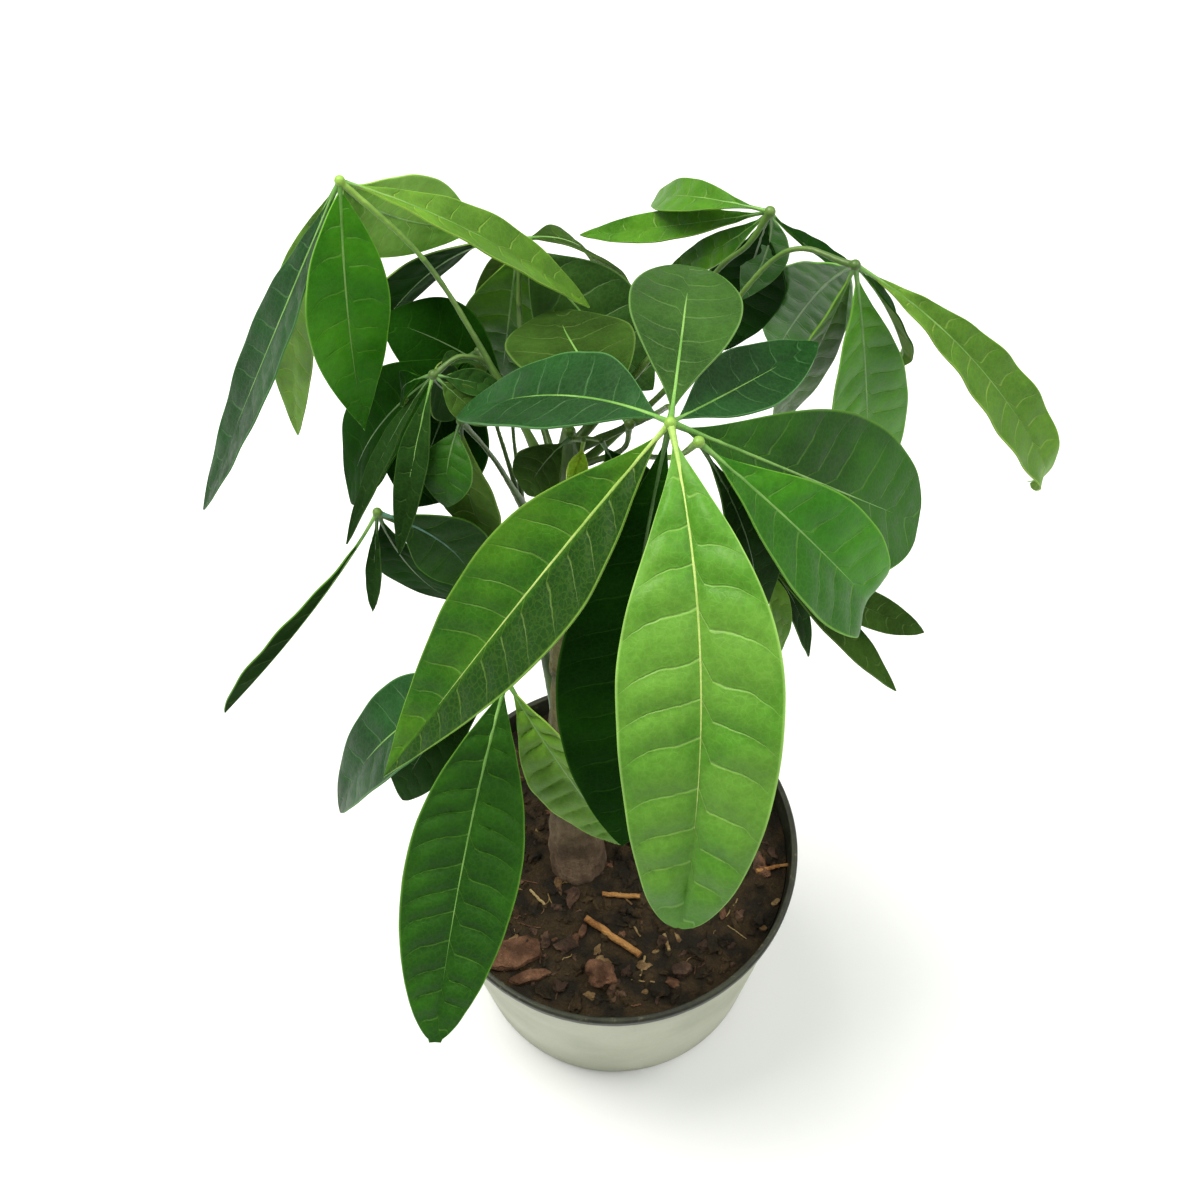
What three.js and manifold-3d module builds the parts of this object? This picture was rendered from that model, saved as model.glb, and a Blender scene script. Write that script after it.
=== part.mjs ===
// A young money tree in a round nursery pot.
// Millimetres, +Z up. The origin is the centre of the pot's underside.
//
// The plant is one swollen trunk with a green shoot on top. Long stalks leave the shoot, each ends in
// a small round hub, and narrow leaflets fan out from every hub and droop under their own weight.

import * as THREE from 'three';
import { mergeVertices } from 'three/addons/utils/BufferGeometryUtils.js';
import Module from 'manifold-3d';

const wasm = await Module();
wasm.setup();

// ---------------------------------------------------------------- driving dimensions

const GAP = 0.3;                 // clearance between pieces that touch

const POT_HEIGHT = 85;
const POT_RIM_RADIUS = 60;
const POT_MOUTH_RADIUS = 58;     // inside of the lip
const POT_BASE_RADIUS = 49.6;
const POT_WALL = 1.2;
const POT_FLOOR = 1.6;
const LIP_HEIGHT = 5;            // the lip is a thicker band at the top of the wall
const LIP_STEP = 1.4;            // how far the lip stands out from the wall
const POT_SIDES = 40;
const DRAIN_HOLES = 5;
const DRAIN_RADIUS = 4;
const DRAIN_CIRCLE = 30;         // radius of the circle that the drain holes stand on

const SOIL_EDGE = 77;            // height of the soil at the wall
const SOIL_CENTRE = 78.4;        // it is mounded a little round the trunk

const LEAF_THICKNESS = 0.6;
const LEAF_ROOT_WIDTH = 0.8;     // where a leaflet narrows to its own short stalk
const LEAF_STATIONS = 8;         // cross-sections along a leaflet
const HUB_RADIUS = 2.2;
const STALK_RADII = [1.4, 0.95, 0.75];   // at the foot, half-way and at the hub
const STALK_SIDES = 6;

// ---------------------------------------------------------------- small helpers

const V = (x, y, z) => new THREE.Vector3(x, y, z);

const MATERIALS = {
  pot: new THREE.MeshStandardMaterial({ color: '#b9beae', roughness: 0.55, metalness: 0 }),
  soil: new THREE.MeshStandardMaterial({ color: '#2b1d14', roughness: 1, metalness: 0 }),
  stem: new THREE.MeshStandardMaterial({ color: '#6d5a45', roughness: 0.8, metalness: 0 }),
  chip: new THREE.MeshStandardMaterial({ color: '#6a4d3c', roughness: 0.9, metalness: 0 }),
  twig: new THREE.MeshStandardMaterial({ color: '#a5794a', roughness: 0.85, metalness: 0 }),
  leaf: new THREE.MeshStandardMaterial({ color: '#3f8a24', roughness: 0.4, metalness: 0 }),
};

const plant = new THREE.Group();

function addMesh(name, geometry, material) {
  const mesh = new THREE.Mesh(geometry, material.clone());
  mesh.name = name;
  plant.add(mesh);
  return mesh;
}

// A closed skin over a row of rings with equal point counts, with a flat cap at both ends.
function loft(rings) {
  const sides = rings[0].length;
  const points = rings.flat();
  const index = [];
  for (let ring = 0; ring + 1 < rings.length; ring += 1) {
    for (let side = 0; side < sides; side += 1) {
      const a = ring * sides + side;
      const b = ring * sides + ((side + 1) % sides);
      index.push(a, b, b + sides);
      index.push(a, b + sides, a + sides);
    }
  }
  const last = (rings.length - 1) * sides;
  for (let side = 1; side + 1 < sides; side += 1) {
    index.push(0, side + 1, side);
    index.push(last, last + side, last + side + 1);
  }
  const geometry = new THREE.BufferGeometry();
  geometry.setFromPoints(points);
  geometry.setIndex(index);
  return geometry;
}

// A round branch along a smooth path, with its radius given at each of the path's points.
function branch(points, radii, sides, steps) {
  const path = new THREE.CatmullRomCurve3(points);
  const frames = path.computeFrenetFrames(steps);
  const rings = [];
  for (let step = 0; step <= steps; step += 1) {
    const along = step / steps;
    const place = along * (radii.length - 1);
    const before = Math.min(Math.floor(place), radii.length - 2);
    const radius = THREE.MathUtils.lerp(radii[before], radii[before + 1], place - before);
    const centre = path.getPoint(along);
    const ring = [];
    for (let side = 0; side < sides; side += 1) {
      const angle = (2 * Math.PI * side) / sides;
      const point = centre.clone();
      point.addScaledVector(frames.normals[step], radius * Math.cos(angle));
      point.addScaledVector(frames.binormals[step], radius * Math.sin(angle));
      ring.push(point);
    }
    rings.push(ring);
  }
  return loft(rings);
}

function toSolid(geometry) {
  const bare = geometry.clone();
  bare.deleteAttribute('normal');
  bare.deleteAttribute('uv');
  const merged = mergeVertices(bare, 1e-4);
  return new wasm.Manifold(new wasm.Mesh({
    numProp: 3,
    vertProperties: new Float32Array(merged.attributes.position.array),
    triVerts: new Uint32Array(merged.index.array),
  }));
}

function toGeometry(solid) {
  const mesh = solid.getMesh();
  const geometry = new THREE.BufferGeometry();
  geometry.setAttribute('position', new THREE.BufferAttribute(new Float32Array(mesh.vertProperties), 3));
  geometry.setIndex(new THREE.BufferAttribute(new Uint32Array(mesh.triVerts), 1));
  return geometry;
}

function lathe(profile, sides) {
  const geometry = new THREE.LatheGeometry(profile.map(([r, z]) => new THREE.Vector2(r, z)), sides);
  geometry.rotateX(Math.PI / 2);
  return geometry;
}

// ---------------------------------------------------------------- pot

// Outer radius of the tapered wall at a height, not counting the lip.
function wallRadius(z) {
  const top = POT_RIM_RADIUS - LIP_STEP;
  return THREE.MathUtils.lerp(POT_BASE_RADIUS, top, z / (POT_HEIGHT - LIP_HEIGHT));
}

function makePot() {
  const lipFoot = POT_HEIGHT - LIP_HEIGHT;
  const profile = [
    [0, 0],
    [POT_BASE_RADIUS - 1, 0],
    [POT_BASE_RADIUS, 1],
    [wallRadius(lipFoot), lipFoot],
    [POT_RIM_RADIUS, lipFoot + LIP_STEP],
    [POT_RIM_RADIUS, POT_HEIGHT - 0.6],
    [POT_RIM_RADIUS - 0.6, POT_HEIGHT],
    [POT_MOUTH_RADIUS, POT_HEIGHT],
    [wallRadius(lipFoot) - POT_WALL, lipFoot],
    [POT_BASE_RADIUS - POT_WALL, POT_FLOOR],
    [0, POT_FLOOR],
  ];
  let pot = toSolid(lathe(profile, POT_SIDES));
  for (let hole = 0; hole < DRAIN_HOLES; hole += 1) {
    const angle = (2 * Math.PI * (hole + 0.5)) / DRAIN_HOLES;
    const drill = new THREE.CylinderGeometry(DRAIN_RADIUS, DRAIN_RADIUS, 4 * POT_FLOOR, 12);
    drill.rotateX(Math.PI / 2);
    drill.translate(DRAIN_CIRCLE * Math.cos(angle), DRAIN_CIRCLE * Math.sin(angle), 0);
    pot = pot.subtract(toSolid(drill));
  }
  addMesh('pot', toGeometry(pot), MATERIALS.pot);
}

// ---------------------------------------------------------------- trunk, shoot and leaf stalks

// The trunk swells like a bottle where it meets the soil, then leans back as it rises.
const TRUNK_PATH = [V(-12, -3, 62), V(-12, -2, 78), V(-12.5, 1, 96), V(-13, 8, 130), V(-12, 17, 170),
  V(-12, 27, 215), V(-10, 34, 246), V(-9, 36, 258)];
const TRUNK_RADII = [7.5, 9.4, 8.4, 5.8, 4.9, 4.4, 3.4, 2];
const TRUNK_SIDES = 14;
const TRUNK_STEPS = 18;

// A slender second shoot leaves the trunk low down at the back.
const SHOOT_PATH = [V(-12.5, 2, 104), V(-17, 24, 140), V(-22, 44, 176), V(-23, 54, 200)];
const SHOOT_RADII = [2.2, 1.9, 1.7, 1.9];

// ---------------------------------------------------------------- leaves

// Each leaf: where its hub stands, which way the fan of leaflets faces, the stalk's route from the
// shoot, and its leaflets. A leaflet is told by where its tip ends up, how wide it is, how far its
// midrib arches up off the straight line from hub to tip, how far it bows sideways, how far the blade
// is rolled about that line (degrees, clockwise seen from the tip) and how steeply its two halves are
// folded up (degrees). `peak` is where the blade is widest, as a share of its length. A lower `base`
// widens it sooner after its stalk, and a lower `point` makes a blunter tip.
const LEAVES = {
  high_left: {
    hub: V(-62, 76, 305),
    facing: V(-0.25, -0.25, 0.93),
    stalk: [V(-12, 32, 236), V(-30, 56, 264), V(-44, 70, 284)],
    leaflets: {
      outer: { tip: V(-111, 46, 213), width: 20, arch: 1, bow: -1, roll: -15, fold: 8, peak: 0.5 },
      under: { tip: V(-87, 72, 212), width: 15, arch: 1, bow: 6, roll: 25, fold: 8, peak: 0.62 },
      front: {
        tip: V(-65, 59, 230), width: 23, arch: 4, bow: 3, roll: 62, fold: 4, peak: 0.45, base: 0.9, point: 1.1,
      },
      back: { tip: V(-35, 116, 247), width: 27, arch: 2, bow: -5, roll: 60, fold: 5, peak: 0.6 },
      long: { tip: V(-3, 84, 249), width: 16, arch: 5, bow: 1, roll: 20, fold: 18 },
    },
  },
  rear_left: {
    hub: V(-21, 92, 267),
    facing: V(0.1, 0.1, 0.97),
    stalk: [V(-12, 36, 236), V(-21, 70, 250)],
    leaflets: {
      right: { tip: V(6, 106, 225), width: 24, arch: 7, roll: 10, fold: 5 },
      down: { tip: V(-28, 94, 200), width: 15, arch: 10, bow: -1, roll: 15, fold: 8 },
      back: { tip: V(-8, 104, 203), width: 15, arch: -2, bow: -3, roll: 5, fold: 5 },
      left: { tip: V(-64, 104, 221), width: 26, arch: 6, bow: 1, roll: -30, fold: 8, peak: 0.65, point: 0.6 },
    },
  },
  behind_front: {
    hub: V(6, 24, 274),
    facing: V(0, -0.3, 0.95),
    stalk: [V(-9, 34, 244), V(4, 27, 260)],
    leaflets: {
      back: { tip: V(-12, 77, 256), width: 33, arch: 4, bow: -3, roll: -10, fold: 0, peak: 0.65 },
    },
  },
  left: {
    hub: V(-43, 51, 262),
    facing: V(-0.3, -0.4, 0.87),
    stalk: [V(-12, 31, 230), V(-26, 53, 256), V(-35, 56, 263)],
    leaflets: {
      outer: { tip: V(-72, 38, 206), width: 8, arch: 1, bow: 2, roll: -20, fold: 6 },
      down: { tip: V(-56, 28, 215), width: 9, arch: 4, bow: -1, roll: 5, fold: 8, peak: 0.45 },
      rear: { tip: V(-32, 67, 242), width: 9, arch: 4, roll: 0, fold: 8 },
      inner: { tip: V(-35, 65, 231), width: 16, arch: 3, roll: -20, fold: 5 },
      small: { tip: V(-52, 60, 241), width: 9, arch: 4, roll: 0, fold: 8 },
    },
  },
  inner_left: {
    hub: V(-37, 47, 248),
    facing: V(-0.2, -0.5, 0.85),
    stalk: [V(-23, 54, 198), V(-30, 51, 226)],
    leaflets: {
      right: { tip: V(-34, 45, 194), width: 19, arch: 3, roll: -10, fold: 8 },
      left: { tip: V(-42, 32, 231), width: 15, arch: 4, roll: 0, fold: 8 },
    },
  },
  shaded_left: {
    hub: V(-33, 73, 245),
    facing: V(-0.3, -0.2, 0.93),
    stalk: [V(-13, 30, 226), V(-20, 48, 242)],
    leaflets: {
      outer: { tip: V(-76, 70, 182), width: 32, arch: 10, roll: 0, fold: 8 },
      inner: { tip: V(-64, 80, 185), width: 20, arch: 5, bow: 0, roll: 0, fold: 8 },
    },
  },
  low_left: {
    hub: V(-61, 35, 225),
    facing: V(-0.2, -0.5, 0.85),
    stalk: [V(-22, 44, 176), V(-44, 43, 196)],
    leaflets: {
      wide: { tip: V(-37, 35, 185), width: 21, arch: 3, bow: -6, roll: -10, fold: 4, peak: 0.52 },
      under: { tip: V(-45, 50, 155), width: 25, arch: 4, roll: -20, fold: 4 },
      down: { tip: V(-67, 29, 185), width: 5, arch: 2, bow: -1, roll: 0, fold: 12 },
      edgewise: { tip: V(-112, 10, 162), width: 18, arch: -2, roll: -80, fold: 20, peak: 0.72, base: 2.2 },
    },
  },
  front: {
    hub: V(14, 0, 305),
    facing: V(0, -0.53, 0.85),
    stalk: [V(-9, 36, 248), V(11, 34, 264), V(15, 18, 288)],
    leaflets: {
      back: { tip: V(22, 64, 285), width: 27, arch: 4, roll: 0, fold: 5, peak: 0.66, point: 0.55 },
      left: { tip: V(-36, 38, 262), width: 26, arch: 5, bow: 2, roll: -35, fold: 10, peak: 0.45, point: 0.6 },
      down_left: { tip: V(-57, -39, 216), width: 30, arch: 3, bow: 0, roll: -15, fold: 20, peak: 0.43, point: 1 },
      down: { tip: V(14, -83, 223), width: 37, arch: 15, bow: -7, roll: -8, fold: 12, peak: 0.5, point: 0.5 },
      right: {
        tip: V(80, 20, 235), width: 38, arch: 4, bow: 1, roll: 5, fold: 6, peak: 0.65, base: 1.35, point: 0.45,
      },
      back_right: { tip: V(53, 47, 275), width: 18, arch: -1, bow: 0, roll: 15, fold: 12, peak: 0.5 },
      under: { tip: V(2, -43, 180), width: 34, arch: 6, bow: 3, roll: -5, fold: 10 },
    },
  },
  under_front: {
    hub: V(20, -4, 303),
    facing: V(0.2, -0.5, 0.85),
    stalk: [V(-9, 33, 238), V(4, 20, 266), V(15, 2, 290)],
    leaflets: {
      right: {
        tip: V(67, -9, 238), width: 28, arch: 5, bow: 1, roll: 5, fold: 12, peak: 0.64, base: 1.4, point: 0.4,
      },
      down: { tip: V(34, -3, 216), width: 15, arch: 9, bow: -1, roll: 10, fold: 8 },
    },
  },
  rear_right: {
    hub: V(41, 67, 300),
    facing: V(-0.1, -0.1, 0.99),
    stalk: [V(-9, 37, 248), V(13, 56, 262), V(29, 66, 281), V(36, 65, 291)],
    leaflets: {
      far_left: { tip: V(-5, 102, 258), width: 9, arch: -3, bow: 1, roll: 20, fold: 10, peak: 0.62 },
      back_left: { tip: V(15, 102, 270), width: 10, arch: 7, bow: -2, roll: 20, fold: 8, point: 0.6 },
      left: { tip: V(19, 91, 256), width: 8, arch: 1, bow: -2, roll: 50, fold: 5 },
      down: { tip: V(38, 82, 253), width: 12, arch: 2, bow: 2, roll: -60, fold: 12 },
      right: { tip: V(67, 88, 259), width: 8, arch: -1, bow: 3, roll: -20, fold: 20 },
    },
  },
  right: {
    hub: V(60, 51, 298),
    facing: V(0.25, -0.35, 0.9),
    stalk: [V(-9, 35, 240), V(18, 50, 258), V(43, 61, 291)],
    leaflets: {
      left: { tip: V(50, 90, 222), width: 25, arch: 3, bow: -2, roll: 15, fold: 3, peak: 0.65, point: 0.5 },
      down: { tip: V(74, 51, 202), width: 26, arch: 2, roll: -15, fold: 4, peak: 0.62, point: 0.5 },
      long: { tip: V(124, 40, 216), width: 18, arch: 5, bow: -4, roll: -5, fold: 12, peak: 0.68, point: 0.6 },
      curled: { tip: V(81, 64, 245), width: 12, arch: 2, bow: 1, roll: 30, fold: 18 },
      inner: { tip: V(48, 65, 218), width: 16, arch: 2, bow: 2, roll: 0, fold: 8 },
    },
  },
  low_front: {
    hub: V(-27, -10, 212),
    facing: V(-0.1, -0.6, 0.8),
    stalk: [V(-12, 22, 192), V(-17, 8, 205)],
    leaflets: {
      down: {
        tip: V(-49, -86, 153), width: 31, arch: 5, bow: 3, roll: 20, fold: 8, peak: 0.52, base: 1.1, point: 0.6,
      },
      left: { tip: V(-77, -21, 160), width: 26, arch: 9, bow: 2, roll: -38, fold: 10, peak: 0.45, point: 0.6 },
      down_left: { tip: V(-60, -16, 155), width: 18, arch: 6, bow: 4, roll: 0, fold: 15 },
      right: { tip: V(2, -33, 158), width: 26, arch: 5, bow: -4, roll: -35, fold: 12 },
    },
  },
  low_right: {
    hub: V(38, 14, 232),
    facing: V(0.3, -0.4, 0.87),
    stalk: [V(-12, 26, 200), V(10, 22, 222)],
    leaflets: {
      down: { tip: V(55, 8, 189), width: 9, arch: 3, bow: -1, roll: 15, fold: 8 },
      curled: { tip: V(45, -1, 207), width: 7, arch: 4, roll: 10, fold: 10 },
      front: { tip: V(78, -3, 188), width: 10, arch: 2, roll: 15, fold: 10 },
      right: { tip: V(87, 13, 192), width: 10, arch: 7, bow: 1, roll: -15, fold: 12 },
    },
  },
};

// Half the blade's width at a share t of the way from hub to tip, for a blade of half width 1.
function bladeShape(t, peak, base, point) {
  const rising = t < peak;
  const phase = rising ? (0.5 * t) / peak : 0.5 + (0.5 * (t - peak)) / (1 - peak);
  return Math.sin(Math.PI * phase) ** (rising ? base : point);
}

function makeLeaflet(name, leaf, shape) {
  const { tip, width, arch, bow = 0, roll, fold, peak = 0.56, base = 1.35, point = 0.8 } = shape;
  const chord = tip.clone().sub(leaf.hub);
  const line = chord.clone().normalize();
  const up = leaf.facing.clone().projectOnPlane(line).normalize();
  up.applyAxisAngle(line, -THREE.MathUtils.degToRad(roll));
  const across = line.clone().cross(up);

  const bend = leaf.hub.clone().addScaledVector(chord, 0.45);
  bend.addScaledVector(up, 2 * arch);
  bend.addScaledVector(across, 2 * bow);
  const root = leaf.hub.clone();
  root.addScaledVector(bend.clone().sub(leaf.hub).normalize(), HUB_RADIUS + GAP);
  const midrib = new THREE.QuadraticBezierCurve3(root, bend, tip);

  const rings = [];
  for (let station = 0; station < LEAF_STATIONS; station += 1) {
    const t = station / (LEAF_STATIONS - 1);
    const centre = midrib.getPoint(t);
    const along = midrib.getTangent(t);
    const side = across.clone().projectOnPlane(along).normalize();
    const face = side.clone().cross(along);
    const half = Math.max((width / 2) * bladeShape(t, peak, base, point), LEAF_ROOT_WIDTH / 2);
    const reach = half * Math.cos(THREE.MathUtils.degToRad(fold));
    const rise = half * Math.sin(THREE.MathUtils.degToRad(fold));
    const at = (sideways, upward) => (
      centre.clone().addScaledVector(side, sideways).addScaledVector(face, upward)
    );
    const thick = LEAF_THICKNESS / 2;
    rings.push([
      at(0, thick), at(reach, rise + thick), at(reach, rise - thick),
      at(0, -thick), at(-reach, rise - thick), at(-reach, rise + thick),
    ]);
  }
  addMesh(name, loft(rings), MATERIALS.leaf);
}

function makeStem() {
  let stem = toSolid(branch(TRUNK_PATH, TRUNK_RADII, TRUNK_SIDES, TRUNK_STEPS));
  stem = stem.add(toSolid(branch(SHOOT_PATH, SHOOT_RADII, STALK_SIDES + 2, 8)));
  for (const leaf of Object.values(LEAVES)) {
    const route = [...leaf.stalk, leaf.hub];
    const stalk = branch(route, STALK_RADII, STALK_SIDES, 8);
    stem = stem.add(toSolid(stalk));
    const knob = new THREE.IcosahedronGeometry(HUB_RADIUS, 1);
    knob.translate(leaf.hub.x, leaf.hub.y, leaf.hub.z);
    stem = stem.add(toSolid(knob));
  }
  addMesh('stem', toGeometry(stem), MATERIALS.stem);
}

// ---------------------------------------------------------------- soil and what lies on it

const SOCKET_SIDES = 16;         // of the hole that the trunk stands in

const soilEdgeRadius = (z) => wallRadius(z) - POT_WALL - GAP;

// The soil's top, from the wall to the axis, as [radius, height].
const SOIL_TOP = [
  [soilEdgeRadius(SOIL_EDGE), SOIL_EDGE],
  [40, SOIL_EDGE + 0.8],
  [20, SOIL_CENTRE],
  [0, SOIL_CENTRE],
];

function soilHeight(x, y) {
  const radius = Math.hypot(x, y);
  for (let i = 0; i + 1 < SOIL_TOP.length; i += 1) {
    const [outer, low] = SOIL_TOP[i];
    const [inner, high] = SOIL_TOP[i + 1];
    if (radius >= inner) return THREE.MathUtils.mapLinear(radius, outer, inner, low, high);
  }
  return SOIL_CENTRE;
}

function makeSoil() {
  const floor = POT_FLOOR + GAP;
  const profile = [[0, floor], [soilEdgeRadius(floor), floor], ...SOIL_TOP];
  const buried = 3;              // path points of the trunk that reach through the soil's top
  const wide = TRUNK_RADII.slice(0, buried).map((radius) => radius + 2 * GAP);
  const socket = toSolid(branch(TRUNK_PATH.slice(0, buried), wide, SOCKET_SIDES, 6));
  const hollow = new THREE.SphereGeometry(wide[0], SOCKET_SIDES, 8);
  hollow.translate(TRUNK_PATH[0].x, TRUNK_PATH[0].y, TRUNK_PATH[0].z);
  const soil = toSolid(lathe(profile, POT_SIDES)).subtract(socket).subtract(toSolid(hollow));
  addMesh('soil', toGeometry(soil), MATERIALS.soil);
}

// Bark chips and bits of twig. `at` is the middle of a piece, `turn` its heading in degrees from +X.
const LUMP = { at: [-5, -42.6], turn: 10, length: 9.6, width: 8.4, height: 6.4 };
const WIDE_CHIP = { at: [-33, -34.6], turn: 12, length: 17, width: 9, height: 2.4 };
const NARROW_CHIP = { at: [-27.6, -41.8], turn: 15, length: 12, width: 3.6, height: 1.8 };
const LONG_TWIG = { at: [-1.1, -30], turn: -37, length: 21.5, radius: 1.2 };
const SHORT_TWIG = { at: [2.3, -15.8], turn: -7, length: 12, radius: 0.9 };

// Lays a piece, centred on its own origin with its length along X, on the soil.
function layOnSoil(name, geometry, material, { at: [x, y], turn, length, height }) {
  const heading = THREE.MathUtils.degToRad(turn);
  const end = V(length / 2, 0, 0).applyAxisAngle(V(0, 0, 1), heading);
  const under = [-1, 0, 1].map((side) => soilHeight(x + side * end.x, y + side * end.y));
  const mesh = addMesh(name, geometry, material);
  mesh.position.set(x, y, Math.max(...under) + GAP + height / 2);
  mesh.rotation.z = heading;
}

function makeLitter() {
  const lump = new THREE.IcosahedronGeometry(1, 1);
  lump.scale(LUMP.length / 2, LUMP.width / 2, LUMP.height / 2);
  layOnSoil('bark_lump', lump, MATERIALS.chip, LUMP);

  const wide = new THREE.CylinderGeometry(0.92, 1, WIDE_CHIP.height, 6);
  wide.rotateX(Math.PI / 2);
  wide.scale(WIDE_CHIP.length / 2, WIDE_CHIP.width / 2, 1);
  layOnSoil('bark_chip_wide', wide, MATERIALS.chip, WIDE_CHIP);

  const narrow = new THREE.BoxGeometry(NARROW_CHIP.length, NARROW_CHIP.width, NARROW_CHIP.height);
  layOnSoil('bark_chip_narrow', narrow, MATERIALS.chip, NARROW_CHIP);

  for (const [name, twig] of [['twig_long', LONG_TWIG], ['twig_short', SHORT_TWIG]]) {
    const stick = new THREE.CylinderGeometry(0.85 * twig.radius, twig.radius, twig.length, 8);
    stick.rotateZ(Math.PI / 2);
    layOnSoil(name, stick, MATERIALS.twig, { ...twig, height: 2 * twig.radius });
  }
}

makePot();
makeSoil();
makeStem();
for (const [leafName, leaf] of Object.entries(LEAVES)) {
  for (const [leafletName, shape] of Object.entries(leaf.leaflets)) {
    makeLeaflet(`leaf_${leafName}_${leafletName}`, leaf, shape);
  }
}
makeLitter();

export default plant;
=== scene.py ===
# %% [markdown]
# # A young money tree in a nursery pot
#
# The plant is a short swollen trunk that carries thirteen long-stalked leaves. Each leaf is a fan of
# leaflets that meet at a small round hub. The solid model already says where every piece stands, so it
# is loaded first and never moved. Each piece is then modelled again beside it, with the veins, folds,
# bark and crumbs that the solids leave out, and it stands in for its solid.

# %% Load the frame
import math
import random

import bpy
import numpy as np
from mathutils import Matrix, Vector, noise


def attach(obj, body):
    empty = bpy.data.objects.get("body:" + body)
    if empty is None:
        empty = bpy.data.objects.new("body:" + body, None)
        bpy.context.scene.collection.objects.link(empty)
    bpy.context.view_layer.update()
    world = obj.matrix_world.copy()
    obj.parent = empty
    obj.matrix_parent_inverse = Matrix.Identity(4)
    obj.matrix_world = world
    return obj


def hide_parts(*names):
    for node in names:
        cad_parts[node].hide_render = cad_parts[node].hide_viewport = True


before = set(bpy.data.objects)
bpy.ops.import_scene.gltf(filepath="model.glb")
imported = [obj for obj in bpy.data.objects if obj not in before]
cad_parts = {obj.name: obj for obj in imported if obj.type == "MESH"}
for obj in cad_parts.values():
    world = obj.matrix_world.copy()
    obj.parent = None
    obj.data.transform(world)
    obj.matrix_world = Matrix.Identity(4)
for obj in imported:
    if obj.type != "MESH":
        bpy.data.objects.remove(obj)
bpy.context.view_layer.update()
MM = 0.001
print("solid nodes:", len(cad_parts))

# %% [markdown]
# ## Camera
#
# The picture was taken from high in front of the pot, looking down at nearly 58 degrees. Wide shots
# like this stretch what is near the lens, so the distance matters as much as the angle. Both came
# from fitting the pot's rim and base to their outline.

# %% Camera
LENS_MM = 51.0
SENSOR_MM = 36.0
CAMERA_AT = Vector((-2.2, -227.9, 595.7)) * MM
CAMERA_TILT = math.radians(90 - 57.8)
CAMERA_ROLL = math.radians(-1.5)

camera_data = bpy.data.cameras.new("camera")
camera_data.lens = LENS_MM
camera_data.sensor_width = SENSOR_MM
camera_data.clip_start = 0.01
camera = bpy.data.objects.new("camera", camera_data)
bpy.context.scene.collection.objects.link(camera)
turn = Matrix.Rotation(CAMERA_TILT, 4, "X") @ Matrix.Rotation(CAMERA_ROLL, 4, "Z")
camera.matrix_world = Matrix.Translation(CAMERA_AT) @ turn
bpy.context.scene.camera = camera
print("camera", round(CAMERA_AT.length, 3), "m from the pot's foot")

# %% [markdown]
# ## Light and floor
#
# The plant stands on plain white in bright, soft daylight that comes mostly from the upper left. One
# large lamp there gives the sheen and the soft shadows, a weaker one fills in from the right, and a
# warm white sky lights the rest.

# %% Light and floor
def area_lamp(name, at, size, watts, colour):
    data = bpy.data.lights.new(name, "AREA")
    data.shape = "DISK"
    data.size = size
    data.energy = watts
    data.color = colour
    lamp = bpy.data.objects.new(name, data)
    bpy.context.scene.collection.objects.link(lamp)
    lamp.location = at
    aim = Vector((0, 0, 0.2)) - lamp.location
    lamp.rotation_euler = aim.to_track_quat("-Z", "Y").to_euler()
    return lamp


area_lamp("daylight", Vector((-0.45, 0.25, 1.3)), 0.8, 22, (1.0, 0.98, 0.83))
area_lamp("fill", Vector((0.8, 0.0, 1.1)), 1.0, 9, (1.0, 0.99, 0.86))

world = bpy.data.worlds.new("white_room")
world.use_nodes = True
world.node_tree.nodes["Background"].inputs["Color"].default_value = (1.0, 0.99, 0.86, 1)
world.node_tree.nodes["Background"].inputs["Strength"].default_value = 0.5
bpy.context.scene.world = world
bpy.context.scene.view_settings.view_transform = "Standard"

FLOOR_SIZE = 8.0
bpy.ops.mesh.primitive_plane_add(size=FLOOR_SIZE)
floor = bpy.context.object
floor.name = "floor"
paper = bpy.data.materials.new("pale_floor")
paper.use_nodes = True
paper.node_tree.nodes["Principled BSDF"].inputs["Base Color"].default_value = (0.88, 0.90, 1.0, 1)
paper.node_tree.nodes["Principled BSDF"].inputs["Roughness"].default_value = 0.9
floor.data.materials.append(paper)
print("lamps and floor are in place")

# %% [markdown]
# ## Small helpers
#
# Operators act on whatever is selected, so each step starts by selecting one object and nothing else.
# Modifiers are applied as soon as they have done their work, which keeps every piece a plain mesh.

# %% Helpers for operators
def pick(*pieces):
    """Selects these objects only. The last one is active."""
    bpy.ops.object.select_all(action="DESELECT")
    for piece in pieces:
        piece.select_set(True)
    bpy.context.view_layer.objects.active = pieces[-1]
    return pieces[-1]


def edit_select(piece, wanted, kind="FACE"):
    """Enters edit mode on piece with just the elements selected for which wanted(element) is true."""
    pick(piece)
    mesh = piece.data
    lists = {"FACE": mesh.polygons, "EDGE": mesh.edges, "VERT": mesh.vertices}
    for items in lists.values():
        items.foreach_set("select", [False] * len(items))
    for item in lists[kind]:
        item.select = bool(wanted(item))
    bpy.ops.object.mode_set(mode="EDIT")
    bpy.ops.mesh.select_mode(type=kind)


def leave_edit():
    bpy.ops.object.mode_set(mode="OBJECT")


def modify(piece, kind, **settings):
    """Adds a modifier with these settings and applies it."""
    pick(piece)
    modifier = piece.modifiers.new(kind.lower(), kind)
    for name, value in settings.items():
        setattr(modifier, name, value)
    bpy.ops.object.modifier_apply(modifier=modifier.name)


def bake_place(piece):
    """Moves the object's place, turn and scale into its mesh."""
    pick(piece)
    bpy.ops.object.transform_apply(location=True, rotation=True, scale=True)


def smooth(piece, degrees=50):
    pick(piece)
    bpy.ops.object.shade_smooth_by_angle(angle=math.radians(degrees))


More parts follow.
